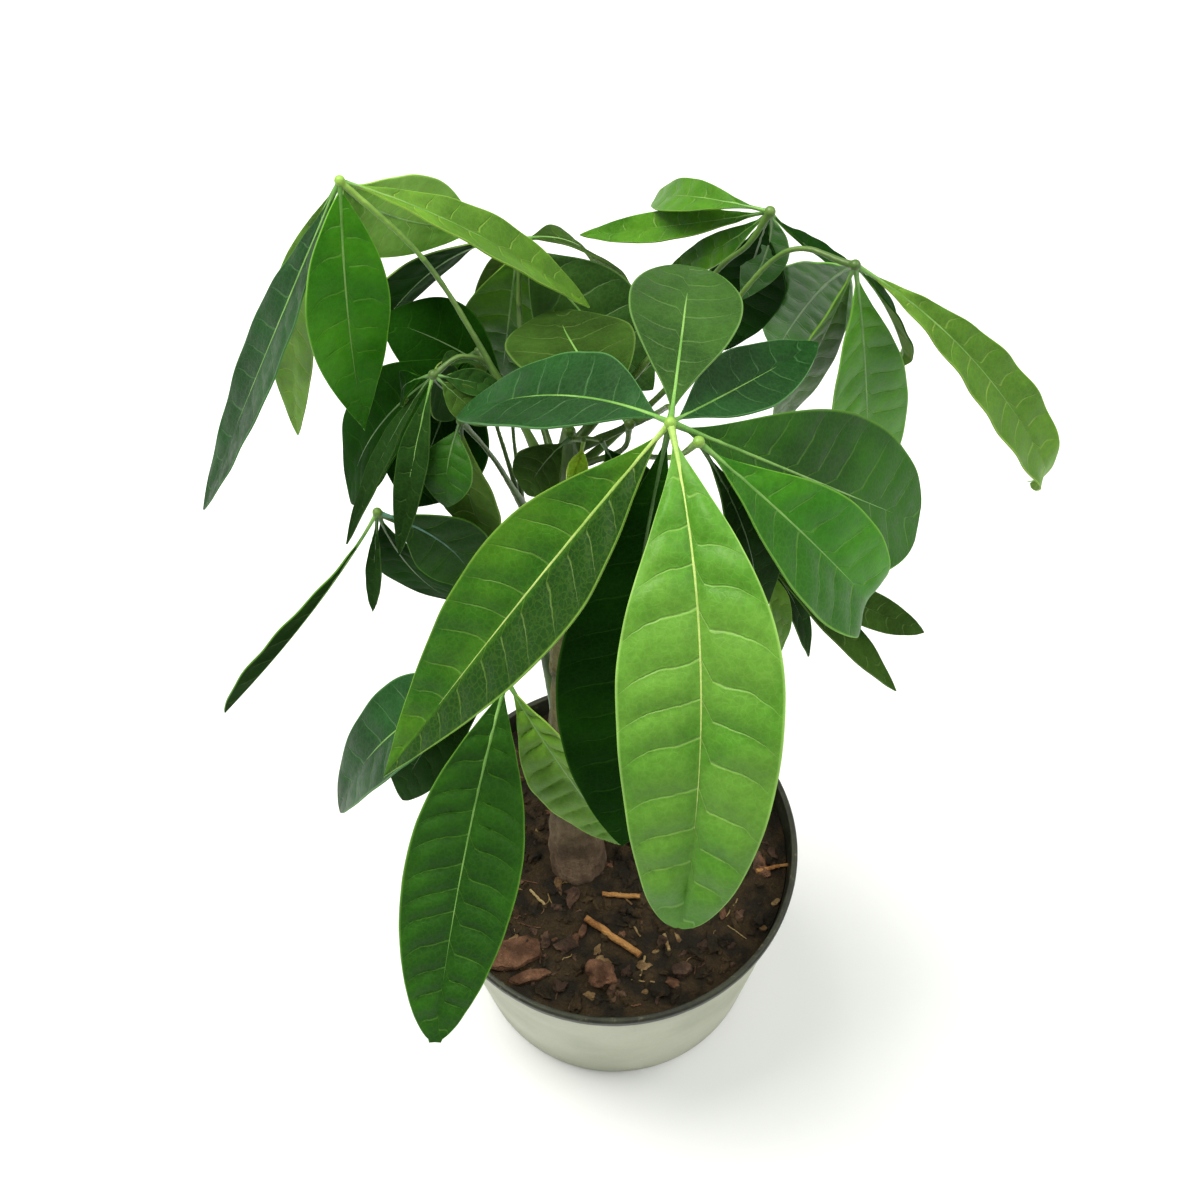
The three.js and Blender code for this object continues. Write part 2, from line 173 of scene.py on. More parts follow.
def hand_over(piece, slot, *nodes):
    """The piece rides on the one body and stands in for the solid nodes. slot is not used."""
    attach(piece, "root")
    if nodes:
        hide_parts(*nodes)


def points_of(piece):
    flat = np.empty(len(piece.data.vertices) * 3)
    piece.data.vertices.foreach_get("co", flat)
    return flat.reshape(-1, 3)


def move_points(piece, points):
    piece.data.vertices.foreach_set("co", np.asarray(points, float).ravel())
    piece.data.update()


def keep_attribute(piece, name, values):
    """Stores one number for each vertex, for the material to read."""
    attribute = piece.data.attributes.new(name, "FLOAT", "POINT")
    attribute.data.foreach_set("value", np.asarray(values, float))


def smoothstep(low, high, x):
    t = np.clip((x - low) / (high - low), 0, 1)
    return t * t * (3 - 2 * t)


def unit(vector):
    return vector / np.linalg.norm(vector, axis=-1, keepdims=True)


# %% [markdown]
# A stalk, a midrib and a twig are all a line with a round section that gets thinner. A curve with a
# bevel does that by itself: each point has its own radius, and converting the curve makes the mesh.

# %% Helper for stalks, midribs and twigs
def tube(name, points, radii, bevel=2):
    """A closed round tube through points (metres), as thick at each as radii says."""
    data = bpy.data.curves.new(name, "CURVE")
    data.dimensions = "3D"
    data.bevel_depth = 1.0
    data.bevel_resolution = bevel
    data.use_fill_caps = True
    line = data.splines.new("POLY")
    line.points.add(len(points) - 1)
    for spot, point, radius in zip(line.points, points, radii):
        spot.co = (*point, 1)
        spot.radius = radius
    piece = bpy.data.objects.new(name, data)
    bpy.context.scene.collection.objects.link(piece)
    pick(piece)
    bpy.ops.object.convert(target="MESH")
    return bpy.context.object


def through(points, count):
    """A smooth line of count points through a few, as a Catmull-Rom spline."""
    points = np.asarray(points, float)
    ends = np.vstack([2 * points[0] - points[1], points, 2 * points[-1] - points[-2]])
    out = []
    for t in np.linspace(0, len(points) - 1, count):
        i = min(int(t), len(points) - 2)
        s = t - i
        a, b, c, d = ends[i : i + 4]
        out.append(0.5 * (2 * b + (c - a) * s + (2 * a - 5 * b + 4 * c - d) * s**2
                          + (3 * b - a - 3 * c + d) * s**3))
    return np.array(out)


def along(values, count):
    """The same few values, spread over count places."""
    return np.interp(np.linspace(0, len(values) - 1, count), range(len(values)), values)


# %% [markdown]
# ## Materials
#
# A material here is a Principled shader with a few nodes in front. Effects that several materials
# share are node groups. The first group, mottle, is cloudy colour from two sizes of noise. It makes
# leaves, bark, soil and plastic look grown or used and not painted.

# %% Node helpers and the mottle group
def new_group(name, inputs, outputs):
    """An empty node group. inputs are (name, socket type, default), outputs are (name, socket type)."""
    group = bpy.data.node_groups.new(name, "ShaderNodeTree")
    for label, kind, value in inputs:
        socket = group.interface.new_socket(label, in_out="INPUT", socket_type=kind)
        socket.default_value = value
    for label, kind in outputs:
        group.interface.new_socket(label, in_out="OUTPUT", socket_type=kind)
    return group


class Net:
    """Adds and links nodes in one tree, so that a material reads as a list of steps."""

    def __init__(self, tree):
        self.tree = tree

    def add(self, kind, **links):
        """A node. Each named setting or input gets a value, or a socket to be linked."""
        node = self.tree.nodes.new(kind)
        for name, value in links.items():
            key = name.replace("_", " ")
            if hasattr(node, name) and name not in ("color",):
                setattr(node, name, value)
            elif isinstance(value, bpy.types.NodeSocket):
                self.tree.links.new(value, node.inputs[key])
            else:
                node.inputs[key].default_value = value
        return node

    def math(self, operation, a, b=0.0, c=0.0, clamp=False):
        node = self.tree.nodes.new("ShaderNodeMath")
        node.operation = operation
        node.use_clamp = clamp
        for socket, value in zip(node.inputs, (a, b, c)):
            if isinstance(value, bpy.types.NodeSocket):
                self.tree.links.new(value, socket)
            else:
                socket.default_value = value
        return node.outputs[0]

    def mix(self, factor, a, b, blend="MIX"):
        node = self.tree.nodes.new("ShaderNodeMix")
        node.data_type = "RGBA"
        node.blend_type = blend
        for socket, value in zip((node.inputs[0], node.inputs[6], node.inputs[7]), (factor, a, b)):
            if isinstance(value, bpy.types.NodeSocket):
                self.tree.links.new(value, socket)
            else:
                socket.default_value = value
        return node.outputs[2]

    def steps(self, value, low, high):
        """0 under low, 1 over high, and smooth between."""
        node = self.tree.nodes.new("ShaderNodeMapRange")
        node.interpolation_type = "SMOOTHSTEP"
        self.tree.links.new(value, node.inputs["Value"])
        node.inputs["From Min"].default_value = low
        node.inputs["From Max"].default_value = high
        return node.outputs["Result"]

    def link(self, a, b):
        self.tree.links.new(a, b)

    def place(self):
        return self.add("ShaderNodeTexCoord").outputs["Object"]

    def noise(self, scale, detail=3.0, roughness=0.55, vector=None):
        node = self.add("ShaderNodeTexNoise", Scale=scale, Detail=detail, Roughness=roughness)
        self.link(vector or self.place(), node.inputs["Vector"])
        return node.outputs["Fac"]

    def attribute(self, name):
        node = self.tree.nodes.new("ShaderNodeAttribute")
        node.attribute_name = name
        return node.outputs["Fac"]


def rgb(red, green, blue):
    """A colour as a picture shows it, from 0 to 255, as the linear value that shaders use."""
    channel = lambda c: (c / 12.92) if c <= 0.04045 else ((c + 0.055) / 1.055) ** 2.4
    return (channel(red / 255), channel(green / 255), channel(blue / 255), 1.0)


COLOUR, FLOAT = "NodeSocketColor", "NodeSocketFloat"


GRAIN_DARK = (0.62, 0.62, 0.62, 1)    # what a grain multiplies the colour by, at its darkest
GRAIN_LIGHT = (1.25, 1.25, 1.25, 1)


def make_mottle():
    group = new_group(
        "mottle",
        [("Light", COLOUR, (1, 1, 1, 1)), ("Dark", COLOUR, (0, 0, 0, 1)),
         ("Cloud Scale", FLOAT, 40.0), ("Grain Scale", FLOAT, 600.0), ("Grain", FLOAT, 0.2)],
        [("Color", COLOUR), ("Grain", FLOAT)],
    )
    net = Net(group)
    inside = net.add("NodeGroupInput")
    cloud = net.add("ShaderNodeTexNoise", Detail=2.0, Roughness=0.5)
    grain = net.add("ShaderNodeTexNoise", Detail=4.0, Roughness=0.65)
    for node, scale in ((cloud, "Cloud Scale"), (grain, "Grain Scale")):
        net.link(net.place(), node.inputs["Vector"])
        net.link(inside.outputs[scale], node.inputs["Scale"])
    cover = net.steps(cloud.outputs["Fac"], 0.38, 0.62)
    patches = net.mix(cover, inside.outputs["Dark"], inside.outputs["Light"])
    speck = net.steps(grain.outputs["Fac"], 0.3, 0.7)
    grains = net.mix(speck, GRAIN_DARK, GRAIN_LIGHT)
    darker = net.mix(1.0, patches, grains, "MULTIPLY")
    out = net.add("NodeGroupOutput")
    net.link(net.mix(inside.outputs["Grain"], patches, darker), out.inputs["Color"])
    net.link(speck, out.inputs["Grain"])
    return group


MOTTLE = make_mottle()


def new_material(name, **sockets):
    """A Principled material with these constant sockets, and the Net to build its nodes with."""
    material = bpy.data.materials.new(name)
    material.use_nodes = True
    shader = material.node_tree.nodes["Principled BSDF"]
    for label, value in sockets.items():
        shader.inputs[label.replace("_", " ")].default_value = value
    return material, Net(material.node_tree), shader


def place_group(net, group, **values):
    node = net.tree.nodes.new("ShaderNodeGroup")
    node.node_tree = group
    for name, value in values.items():
        key = name.replace("_", " ")
        if isinstance(value, bpy.types.NodeSocket):
            net.link(value, node.inputs[key])
        else:
            node.inputs[key].default_value = value
    return node


def bump(net, shader, height, strength, distance):
    node = net.add("ShaderNodeBump", Strength=strength, Distance=distance)
    net.link(height, node.inputs["Height"])
    net.link(node.outputs["Normal"], shader.inputs["Normal"])


print("shared node groups:", [g.name for g in bpy.data.node_groups])

# %% [markdown]
# ### Leaf skin
#
# A leaflet's side veins leave the midrib in pairs and bend towards the tip. They can't come from a
# noise, because they follow the blade. So each blade carries three numbers per vertex: vein, which
# grows by one from each side vein to the next, across, from 0 at the midrib to 1 at the margin, and
# shade, which darkens a half that is turned away from the light. The group turns vein into thin pale
# lines, adds the fine net between them, and gives the margin the veins' colour. Every leaf material
# uses it with its own greens, because shaded leaflets are dark, and young or sunlit ones are
# yellow-green.

# %% The leaf skin group
SHADED_HALF = (0.32, 0.36, 0.3, 1)    # how dark the turned-away half of a folded leaflet is


def make_leaf_skin():
    group = new_group(
        "leaf_skin",
        [("Blade", COLOUR, (0, 0.3, 0, 1)), ("Deep", COLOUR, (0, 0.1, 0, 1)),
         ("Vein", COLOUR, (0.4, 0.6, 0.1, 1)), ("Vein Strength", FLOAT, 0.5), ("Gloss", FLOAT, 0.35)],
        [("Color", COLOUR), ("Roughness", FLOAT), ("Height", FLOAT)],
    )
    net = Net(group)
    inside = net.add("NodeGroupInput")
    across = net.attribute("across")
    wobble = net.math("MULTIPLY", net.math("SUBTRACT", net.noise(200.0, 2.0), 0.5), 0.14)
    count = net.math("ADD", net.attribute("vein"), wobble)
    to_line = net.math("PINGPONG", count, 0.5)
    width = net.math("MULTIPLY_ADD", across, -0.035, 0.055)
    line = net.math("SUBTRACT", 1.0, net.math("DIVIDE", to_line, width), clamp=True)
    fade = net.math("SUBTRACT", 1.0, net.steps(across, 0.55, 1.0))
    line = net.math("MULTIPLY", line, net.math("MULTIPLY_ADD", fade, 0.8, 0.2))

    net_cells = net.add("ShaderNodeTexVoronoi", feature="DISTANCE_TO_EDGE", Scale=620.0)
    bent = net.add("ShaderNodeTexNoise", Scale=500.0, Detail=1.0)
    net.link(net.place(), bent.inputs["Vector"])
    shift = net.add("ShaderNodeMix", data_type="VECTOR")
    shift.inputs[0].default_value = 0.0012
    net.link(net.place(), shift.inputs[4])
    net.link(bent.outputs["Color"], shift.inputs[5])
    net.link(shift.outputs[1], net_cells.inputs["Vector"])
    mesh_line = net.math("SUBTRACT", 1.0, net.steps(net_cells.outputs["Distance"], 0.0, 0.16))

    base = place_group(net, MOTTLE, Cloud_Scale=34.0, Grain_Scale=420.0, Grain=0.32,
                       Light=inside.outputs["Blade"], Dark=inside.outputs["Deep"])
    shadow = net.mix(1.0, inside.outputs["Deep"], SHADED_HALF, blend="MULTIPLY")
    shaded = net.mix(net.attribute("shade"), base.outputs["Color"], shadow)
    colour = net.mix(net.math("MULTIPLY", mesh_line, 0.06), shaded, inside.outputs["Vein"])
    line_strength = net.math("MULTIPLY", line, inside.outputs["Vein Strength"])
    colour = net.mix(line_strength, colour, inside.outputs["Vein"])
    margin = net.math("MULTIPLY", net.steps(across, 0.955, 0.995), 0.65)
    colour = net.mix(margin, colour, inside.outputs["Vein"])

    rough = net.math("MULTIPLY_ADD", base.outputs["Grain"], 0.16, inside.outputs["Gloss"])
    height = net.math("MULTIPLY", base.outputs["Grain"], 0.12)
    height = net.math("MULTIPLY_ADD", mesh_line, -0.08, height)
    height = net.math("MULTIPLY_ADD", line, -1.0, height)
    out = net.add("NodeGroupOutput")
    net.link(colour, out.inputs["Color"])
    net.link(rough, out.inputs["Roughness"])
    net.link(height, out.inputs["Height"])
    return group


LEAF_SKIN = make_leaf_skin()

# %% Leaf materials
# Each look: the blade's green, the green of its darker patches, the veins, how much the veins show,
# the roughness, and how much light goes through. The greens hold painted light and shade: deep and
# dusk are painted shade for leaflets that sit in shade, and the palest look, lit and sunlit are
# painted light for leaflets in the sun. The second green is also where the painted shade on a
# turned-away half starts.
LEAF_LOOKS = {
    # painted light: the pale green of a leaflet that catches the sun
    "lit_pale": (rgb(90, 138, 48), rgb(72, 126, 34), rgb(150, 190, 104), 0.45, 0.36, 0.15),
    "vivid": (rgb(62, 130, 18), rgb(44, 110, 12), rgb(120, 174, 62), 0.25, 0.38, 0.22),
    "lit": (rgb(78, 142, 26), rgb(56, 118, 18), rgb(134, 184, 76), 0.28, 0.40, 0.22),
    "fresh": (rgb(68, 118, 20), rgb(40, 92, 14), rgb(128, 168, 66), 0.30, 0.40, 0.18),
    "mid": (rgb(36, 88, 8), rgb(24, 68, 5), rgb(94, 144, 46), 0.38, 0.46, 0.10),
    "grey": (rgb(46, 82, 26), rgb(34, 66, 20), rgb(104, 142, 76), 0.38, 0.42, 0.10),
    "teal": (rgb(26, 70, 28), rgb(18, 54, 20), rgb(84, 136, 78), 0.34, 0.38, 0.06),
    # painted shade: deep and dusk are the greens of leaflets that sit in shade
    "deep": (rgb(20, 58, 8), rgb(12, 42, 5), rgb(52, 96, 28), 0.30, 0.6, 0.06),
    "dusk": (rgb(36, 68, 26), rgb(26, 52, 18), rgb(80, 112, 58), 0.32, 0.6, 0.06),
    "olive": (rgb(52, 80, 30), rgb(38, 60, 22), rgb(92, 120, 60), 0.60, 0.6, 0.12),
    "bud": (rgb(176, 206, 60), rgb(140, 178, 44), rgb(196, 216, 96), 0.30, 0.4, 0.4),
    "sunlit": (rgb(100, 144, 44), rgb(74, 116, 30), rgb(150, 180, 80), 0.40, 0.45, 0.3),
}
LIGHT_REACH = (0.25, 1.0, 0.12)      # how far red, green and blue light travel inside a leaf
LIGHT_DEPTH = 0.0012                 # metres


def leaf_material(name, blade, deep, vein, vein_strength, gloss, through_share, dull=0.0):
    material, net, shader = new_material(
        name, Subsurface_Weight=through_share, Subsurface_Radius=LIGHT_REACH,
        Subsurface_Scale=LIGHT_DEPTH, Specular_IOR_Level=0.24 - 0.16 * dull,
        Coat_Weight=0.0, IOR=1.42 - 0.27 * dull,
    )
    skin = place_group(net, LEAF_SKIN, Blade=blade, Deep=deep, Vein=vein,
                       Vein_Strength=vein_strength, Gloss=gloss)
    net.link(skin.outputs["Color"], shader.inputs["Base Color"])
    net.link(skin.outputs["Roughness"], shader.inputs["Roughness"])
    bump(net, shader, skin.outputs["Height"], 0.65, 0.0003)
    return material


LEAF_TOPS = {look: leaf_material(f"leaf_{look}", *values, dull=float(look in ("deep", "dusk", "olive")))
             for look, values in LEAF_LOOKS.items()}
LEAF_BACKS = {
    "light": leaf_material("leaf_underside", rgb(92, 124, 54), rgb(72, 104, 40), rgb(134, 158, 86),
                           0.75, 0.5, 0.3, dull=1.0),
    # painted light: the pale underside of a leaflet in the sun
    "lit_pale": leaf_material("leaf_underside_lit", rgb(136, 178, 88), rgb(112, 156, 66),
                            rgb(168, 200, 116), 0.6, 0.5, 0.4, dull=1.0),
    "vivid": LEAF_TOPS["vivid"],
    "dark": leaf_material("leaf_underside_shaded", rgb(36, 66, 24), rgb(26, 52, 16), rgb(66, 96, 44),
                          0.75, 0.55, 0.1, dull=1.0),
}


def rib_material(name, light, dark):
    material, net, shader = new_material(name, Subsurface_Weight=0.15, Subsurface_Radius=LIGHT_REACH,
                                         Subsurface_Scale=LIGHT_DEPTH, Roughness=0.45)
    skin = place_group(net, MOTTLE, Light=light, Dark=dark, Cloud_Scale=90.0, Grain_Scale=1500.0,
                       Grain=0.35)
    net.link(skin.outputs["Color"], shader.inputs["Base Color"])
    bump(net, shader, skin.outputs["Grain"], 0.25, 0.0001)
    return material


RIBS = {
    "pale": rib_material("midrib_pale", rgb(178, 204, 116), rgb(146, 182, 86)),
    "green": rib_material("midrib_green", rgb(120, 168, 84), rgb(94, 146, 62)),
    # painted shade: the dark midrib is the green one's shaded copy, for leaflets in shade
    "dark": rib_material("midrib_dark", rgb(84, 124, 64), rgb(62, 100, 46)),
    # painted highlight: the pale blue sheen that lies along one leaflet's midrib
    "blue_sheen": rib_material("midrib_blue_sheen", rgb(120, 170, 160), rgb(60, 116, 84)),
}
print("leaf materials:", len(LEAF_TOPS) + len(LEAF_BACKS) + len(RIBS))

# %% [markdown]
# ## The flat blade
#
# A leaflet is a thin sheet, widest past its middle and narrowed at both ends. The flat sheet is a grid,
# because a grid has rows that follow the midrib and columns that follow the side veins. It is made
# once in a fine and a coarse version, one unit long and two wide. Every leaflet is a copy of one.

# %% Flat blades
def flat_blade(name, stations, columns):
    bpy.ops.mesh.primitive_grid_add(x_subdivisions=stations, y_subdivisions=columns, size=2,
                                    calc_uvs=True)
    blade = bpy.context.object
    blade.name = name
    edit_select(blade, lambda vertex: True, "VERT")
    bpy.ops.transform.translate(value=(1, 0, 0))
    bpy.ops.transform.resize(value=(0.5, 1, 1), center_override=(0, 0, 0))
    leave_edit()
    return blade


BROAD_BLADE = flat_blade("broad_blade", 104, 28)
NARROW_BLADE = flat_blade("narrow_blade", 64, 14)
print("blade faces:", len(BROAD_BLADE.data.polygons), len(NARROW_BLADE.data.polygons))

# %% [markdown]
# ## Where the leaves hang
#
# These are the same hubs and leaflets as in the solid model, in millimetres. facing is the way the
# fan's upper side looks, and stalk is the leaf stalk's route from the shoot to the hub. For a leaflet,
# tip is where it ends, arch and bow are how far its midrib rises and swings off the straight line,
# roll turns the blade about that line and fold lifts its halves. The outline is widest at peak, a
# share of the way along, and a larger base or point narrows it more towards the hub or the tip.
#
# The rest is only for looks. quilt is how far the blade puffs up between its side veins, and spacing
# how far apart these are. wave is how much the margin ripples, cup how far each half bulges, curl how
# far the tip turns under, in degrees, and blunt half the tip's width. look, back and rib name the
# materials of the upper side, the underside and the midrib. flip swaps the two sides, for a leaflet
# that turned over, and shade darkens its left and right half.

# %% Leaves
HUB_RADIUS = 2.2
GAP = 0.3                             # between a hub and its leaflets, and between soil and pot


def leaflet(tip, width, arch, bow=0, roll=0, fold=0, peak=0.56, base=1.35, point=0.8, look="mid",
            rib="green", back="light", quilt=0.35, wave=0.15, cup=0.0, curl=0, blunt=0.12,
            shade=(0.0, 0.0), flip=False, spacing=9.0):
    return dict(tip=tip, width=width, arch=arch, bow=bow, roll=roll, fold=fold, peak=peak, base=base,
                point=point, look=look, rib=rib, back=back, quilt=quilt, wave=wave, cup=cup, curl=curl,
                blunt=blunt, shade=shade, flip=flip, spacing=spacing)


# A leaf's fresh is how pale its stalk is near the hub: partly young colour, partly painted light on the
# stalks in the sun, and low where the stalk has painted shade.
LEAVES = {
    "high_left": dict(
        hub=(-62, 76, 305), facing=(-0.25, -0.25, 0.93), fresh=1.0,
        stalk=[(-12, 32, 236), (-30, 56, 264), (-44, 70, 284)],
        leaflets=dict(
            outer=leaflet((-111, 46, 213), 20, 1, -1, -15, 8, peak=0.5, look="teal"),
            under=leaflet((-87, 72, 212), 15, 1, 6, 25, 8, peak=0.62, look="sunlit"),
            front=leaflet((-65, 59, 230), 23, 4, 3, 62, 4, peak=0.45, base=0.9, point=1.1, look="vivid",
                          quilt=0.4),
            back=leaflet((-35, 116, 247), 27, 2, -5, 60, 5, peak=0.6, look="sunlit", back="lit_pale"),
            long=leaflet((-3, 84, 249), 16, 5, 1, 20, 18, look="sunlit"),
        ),
    ),
    "rear_left": dict(
        hub=(-21, 92, 267), facing=(0.1, 0.1, 0.97), fresh=0.4,
        stalk=[(-12, 36, 236), (-21, 70, 250)],
        leaflets=dict(
            right=leaflet((6, 106, 225), 24, 7, 0, 10, 5, look="olive"),
            down=leaflet((-28, 94, 200), 15, 10, -1, 15, 8, look="fresh"),
            back=leaflet((-8, 104, 203), 15, -2, -3, 5, 5, look="fresh", flip=True),
            left=leaflet((-64, 104, 221), 26, 6, 1, -30, 8, peak=0.65, point=0.6, look="deep",
                         flip=True),
        ),
    ),
    "behind_front": dict(
        hub=(6, 24, 274), facing=(0, -0.3, 0.95), fresh=0.3,
        stalk=[(-9, 34, 244), (4, 27, 260)],
        leaflets=dict(
            back=leaflet((-12, 77, 256), 33, 4, -3, -10, 0, peak=0.65, look="olive", quilt=0.8),
        ),
    ),
    "left": dict(
        hub=(-43, 51, 262), facing=(-0.3, -0.4, 0.87), fresh=0.2,
        stalk=[(-12, 31, 230), (-26, 53, 256), (-35, 56, 263)],
        leaflets=dict(
            outer=leaflet((-72, 38, 206), 8, 1, 2, -20, 6, look="dusk", rib="dark"),
            down=leaflet((-56, 28, 215), 9, 4, -1, 5, 8, peak=0.45, look="dusk"),
            rear=leaflet((-32, 67, 242), 9, 4, 0, 0, 8, look="dusk", rib="dark"),
            inner=leaflet((-35, 65, 231), 16, 3, 0, -20, 5, look="dusk", rib="dark", flip=True),
            small=leaflet((-52, 60, 241), 9, 4, 0, 0, 8, look="deep", rib="dark"),
        ),
    ),
    "inner_left": dict(
        hub=(-37, 47, 248), facing=(-0.2, -0.5, 0.85), fresh=0.2,
        stalk=[(-23, 54, 198), (-30, 51, 226)],
        leaflets=dict(
            right=leaflet((-34, 45, 194), 19, 3, 0, -10, 8, look="mid", rib="dark", flip=True),
            left=leaflet((-42, 32, 231), 15, 4, 0, 0, 8, look="mid", rib="dark"),
        ),
    ),
    "shaded_left": dict(
        hub=(-33, 73, 245), facing=(-0.3, -0.2, 0.93), fresh=0.1,
        stalk=[(-13, 30, 226), (-20, 48, 242)],
        leaflets=dict(
            outer=leaflet((-76, 70, 182), 32, 10, 0, 0, 8, look="deep", rib="dark", back="dark"),
            inner=leaflet((-64, 80, 185), 20, 5, 0, 0, 8, look="deep", rib="dark", back="dark"),
        ),
    ),
    "low_left": dict(
        hub=(-61, 35, 225), facing=(-0.2, -0.5, 0.85), fresh=0.3,
        stalk=[(-22, 44, 176), (-44, 43, 196)],
        leaflets=dict(
            wide=leaflet((-37, 35, 185), 21, 3, -6, -10, 4, peak=0.52, look="mid", rib="blue_sheen",
                         quilt=0.5),
            under=leaflet((-45, 50, 155), 25, 4, 0, -20, 4, look="deep", rib="dark"),
            down=leaflet((-67, 29, 185), 5, 2, -1, 0, 12, look="dusk", rib="dark"),
            edgewise=leaflet((-112, 10, 162), 18, -2, 0, -80, 20, peak=0.72, base=2.2, look="mid",
                             back="dark"),
        ),
    ),
    "front": dict(
        hub=(14, 0, 305), facing=(0, -0.53, 0.85), fresh=1.0,
        stalk=[(-9, 36, 248), (11, 34, 264), (15, 18, 288)],
        leaflets=dict(
            back=leaflet((22, 64, 285), 27, 4, 0, 0, 5, peak=0.66, point=0.55, look="grey", quilt=0.3),
            left=leaflet((-36, 38, 262), 26, 5, 2, -35, 10, peak=0.45, point=0.6, look="teal",
                         quilt=0.25),
            down_left=leaflet((-57, -39, 216), 30, 3, 0, -15, 20, peak=0.43, point=1, look="fresh",
                              rib="pale", quilt=0.7, shade=(0.95, 0.0)),
            down=leaflet((14, -83, 223), 37, 15, -7, -8, 12, peak=0.5, point=0.5, look="lit_pale",
                         rib="pale", quilt=1.15, cup=1.2, wave=0.3, blunt=1.0,
                         spacing=10.5),
            right=leaflet((80, 20, 235), 38, 4, 1, 5, 6, peak=0.65, base=1.35, point=0.45, look="mid",
                          quilt=0.35),
            back_right=leaflet((53, 47, 275), 18, -1, 0, 15, 12, peak=0.5, look="teal", quilt=0.3),
            under=leaflet((2, -43, 180), 34, 6, 3, -5, 10, look="deep", rib="dark", quilt=0.5),
        ),
    ),
    "under_front": dict(
        hub=(20, -4, 303), facing=(0.2, -0.5, 0.85), fresh=0.8,
        stalk=[(-9, 33, 238), (4, 20, 266), (15, 2, 290)],
        leaflets=dict(
            right=leaflet((67, -9, 238), 28, 5, 1, 5, 12, peak=0.64, base=1.4, point=0.4, look="vivid",
                          quilt=0.4, curl=50, blunt=4.0, shade=(0.0, 0.5)),
            down=leaflet((34, -3, 216), 15, 9, -1, 10, 8, look="dusk", rib="dark"),
        ),
    ),
    "rear_right": dict(
        hub=(41, 67, 300), facing=(-0.1, -0.1, 0.99), fresh=0.25,
        stalk=[(-9, 37, 248), (13, 56, 262), (29, 66, 281), (36, 65, 291)],
        leaflets=dict(
            far_left=leaflet((-5, 102, 258), 9, -3, 1, 20, 10, peak=0.62, look="fresh"),
            back_left=leaflet((15, 102, 270), 10, 7, -2, 20, 8, point=0.6, look="fresh"),
            left=leaflet((19, 91, 256), 8, 1, -2, 50, 5, look="fresh"),
            down=leaflet((38, 82, 253), 12, 2, 2, -60, 12, look="vivid", back="vivid"),
            right=leaflet((67, 88, 259), 8, -1, 3, -20, 20, look="deep"),
        ),
    ),
    "right": dict(
        hub=(60, 51, 298), facing=(0.25, -0.35, 0.9), fresh=0.25,
        stalk=[(-9, 35, 240), (18, 50, 258), (43, 61, 291)],
        leaflets=dict(
            left=leaflet((50, 90, 222), 25, 3, -2, 15, 3, peak=0.65, point=0.5, look="vivid",
                         back="vivid", quilt=0.4),
            down=leaflet((74, 51, 202), 26, 2, 0, -15, 4, peak=0.62, point=0.5, look="lit", quilt=0.5),
            long=leaflet((124, 40, 216), 18, 5, -4, -5, 12, peak=0.68, point=0.6, look="sunlit",
                         wave=0.5, curl=60),
            curled=leaflet((81, 64, 245), 12, 2, 1, 30, 18, look="deep", curl=50),
            inner=leaflet((48, 65, 218), 16, 2, 2, 0, 8, look="fresh", back="vivid"),
        ),
    ),
    "low_front": dict(
        hub=(-27, -10, 212), facing=(-0.1, -0.6, 0.8), fresh=0.3,
        stalk=[(-12, 22, 192), (-17, 8, 205)],
        leaflets=dict(
            down=leaflet((-49, -86, 153), 31, 5, 3, 20, 8, peak=0.52, base=1.1, point=0.6, look="mid",
                         quilt=1.3, blunt=1.6, spacing=7.0),
            left=leaflet((-77, -21, 160), 26, 9, 2, -38, 10, peak=0.45, point=0.6, look="teal"),
            down_left=leaflet((-60, -16, 155), 18, 6, 4, 0, 15, look="dusk", rib="dark"),
            right=leaflet((2, -33, 158), 26, 5, -4, -35, 12, look="sunlit", quilt=1.4,
                          spacing=6.5),
        ),
    ),
    "low_right": dict(
        hub=(38, 14, 232), facing=(0.3, -0.4, 0.87), fresh=0.1,
        stalk=[(-12, 26, 200), (10, 22, 222)],
        leaflets=dict(
            down=leaflet((55, 8, 189), 9, 3, -1, 15, 8, look="dusk", rib="dark"),
            curled=leaflet((45, -1, 207), 7, 4, 0, 10, 10, look="sunlit"),
            front=leaflet((78, -3, 188), 10, 2, 0, 15, 10, look="olive", rib="dark"),
            right=leaflet((87, 13, 192), 10, 7, 1, -15, 12, look="olive", rib="dark"),
        ),
    ),
}
print("leaves:", len(LEAVES), "leaflets:", sum(len(leaf["leaflets"]) for leaf in LEAVES.values()))

# %% [markdown]
# ## Hanging a leaflet
#
# Bending each copy by hand with fifty curves and lattices would be slow and never match the solids. So
# the flat copy is laid along the same curved midrib as its solid, row by row, and each row is then
# lifted into a soft gutter, puffed between its veins and rippled at the margin. Solidify gives the
# sheet its thickness and a second material underneath. The midrib is a tube that starts in the hub as
# the leaflet's own short stalk, stands a little proud above the blade and further below it.

# %% Midrib curve and blade outline
LEAF_THICKNESS = 0.45
LEAF_FOOT = 0.45                      # half the blade's width where it leaves its stalk
CURL_START = 0.86                     # where along the blade a curled tip begins to turn


def blade_shape(t, peak, base, point):
    """Half the width at t of the way along, for a blade of half width 1."""
    phase = np.where(t < peak, 0.5 * t / peak, 0.5 + 0.5 * (t - peak) / (1 - peak))
    wave = np.clip(np.sin(np.pi * phase), 0, 1)
    return np.where(t < peak, wave**base, wave**point)


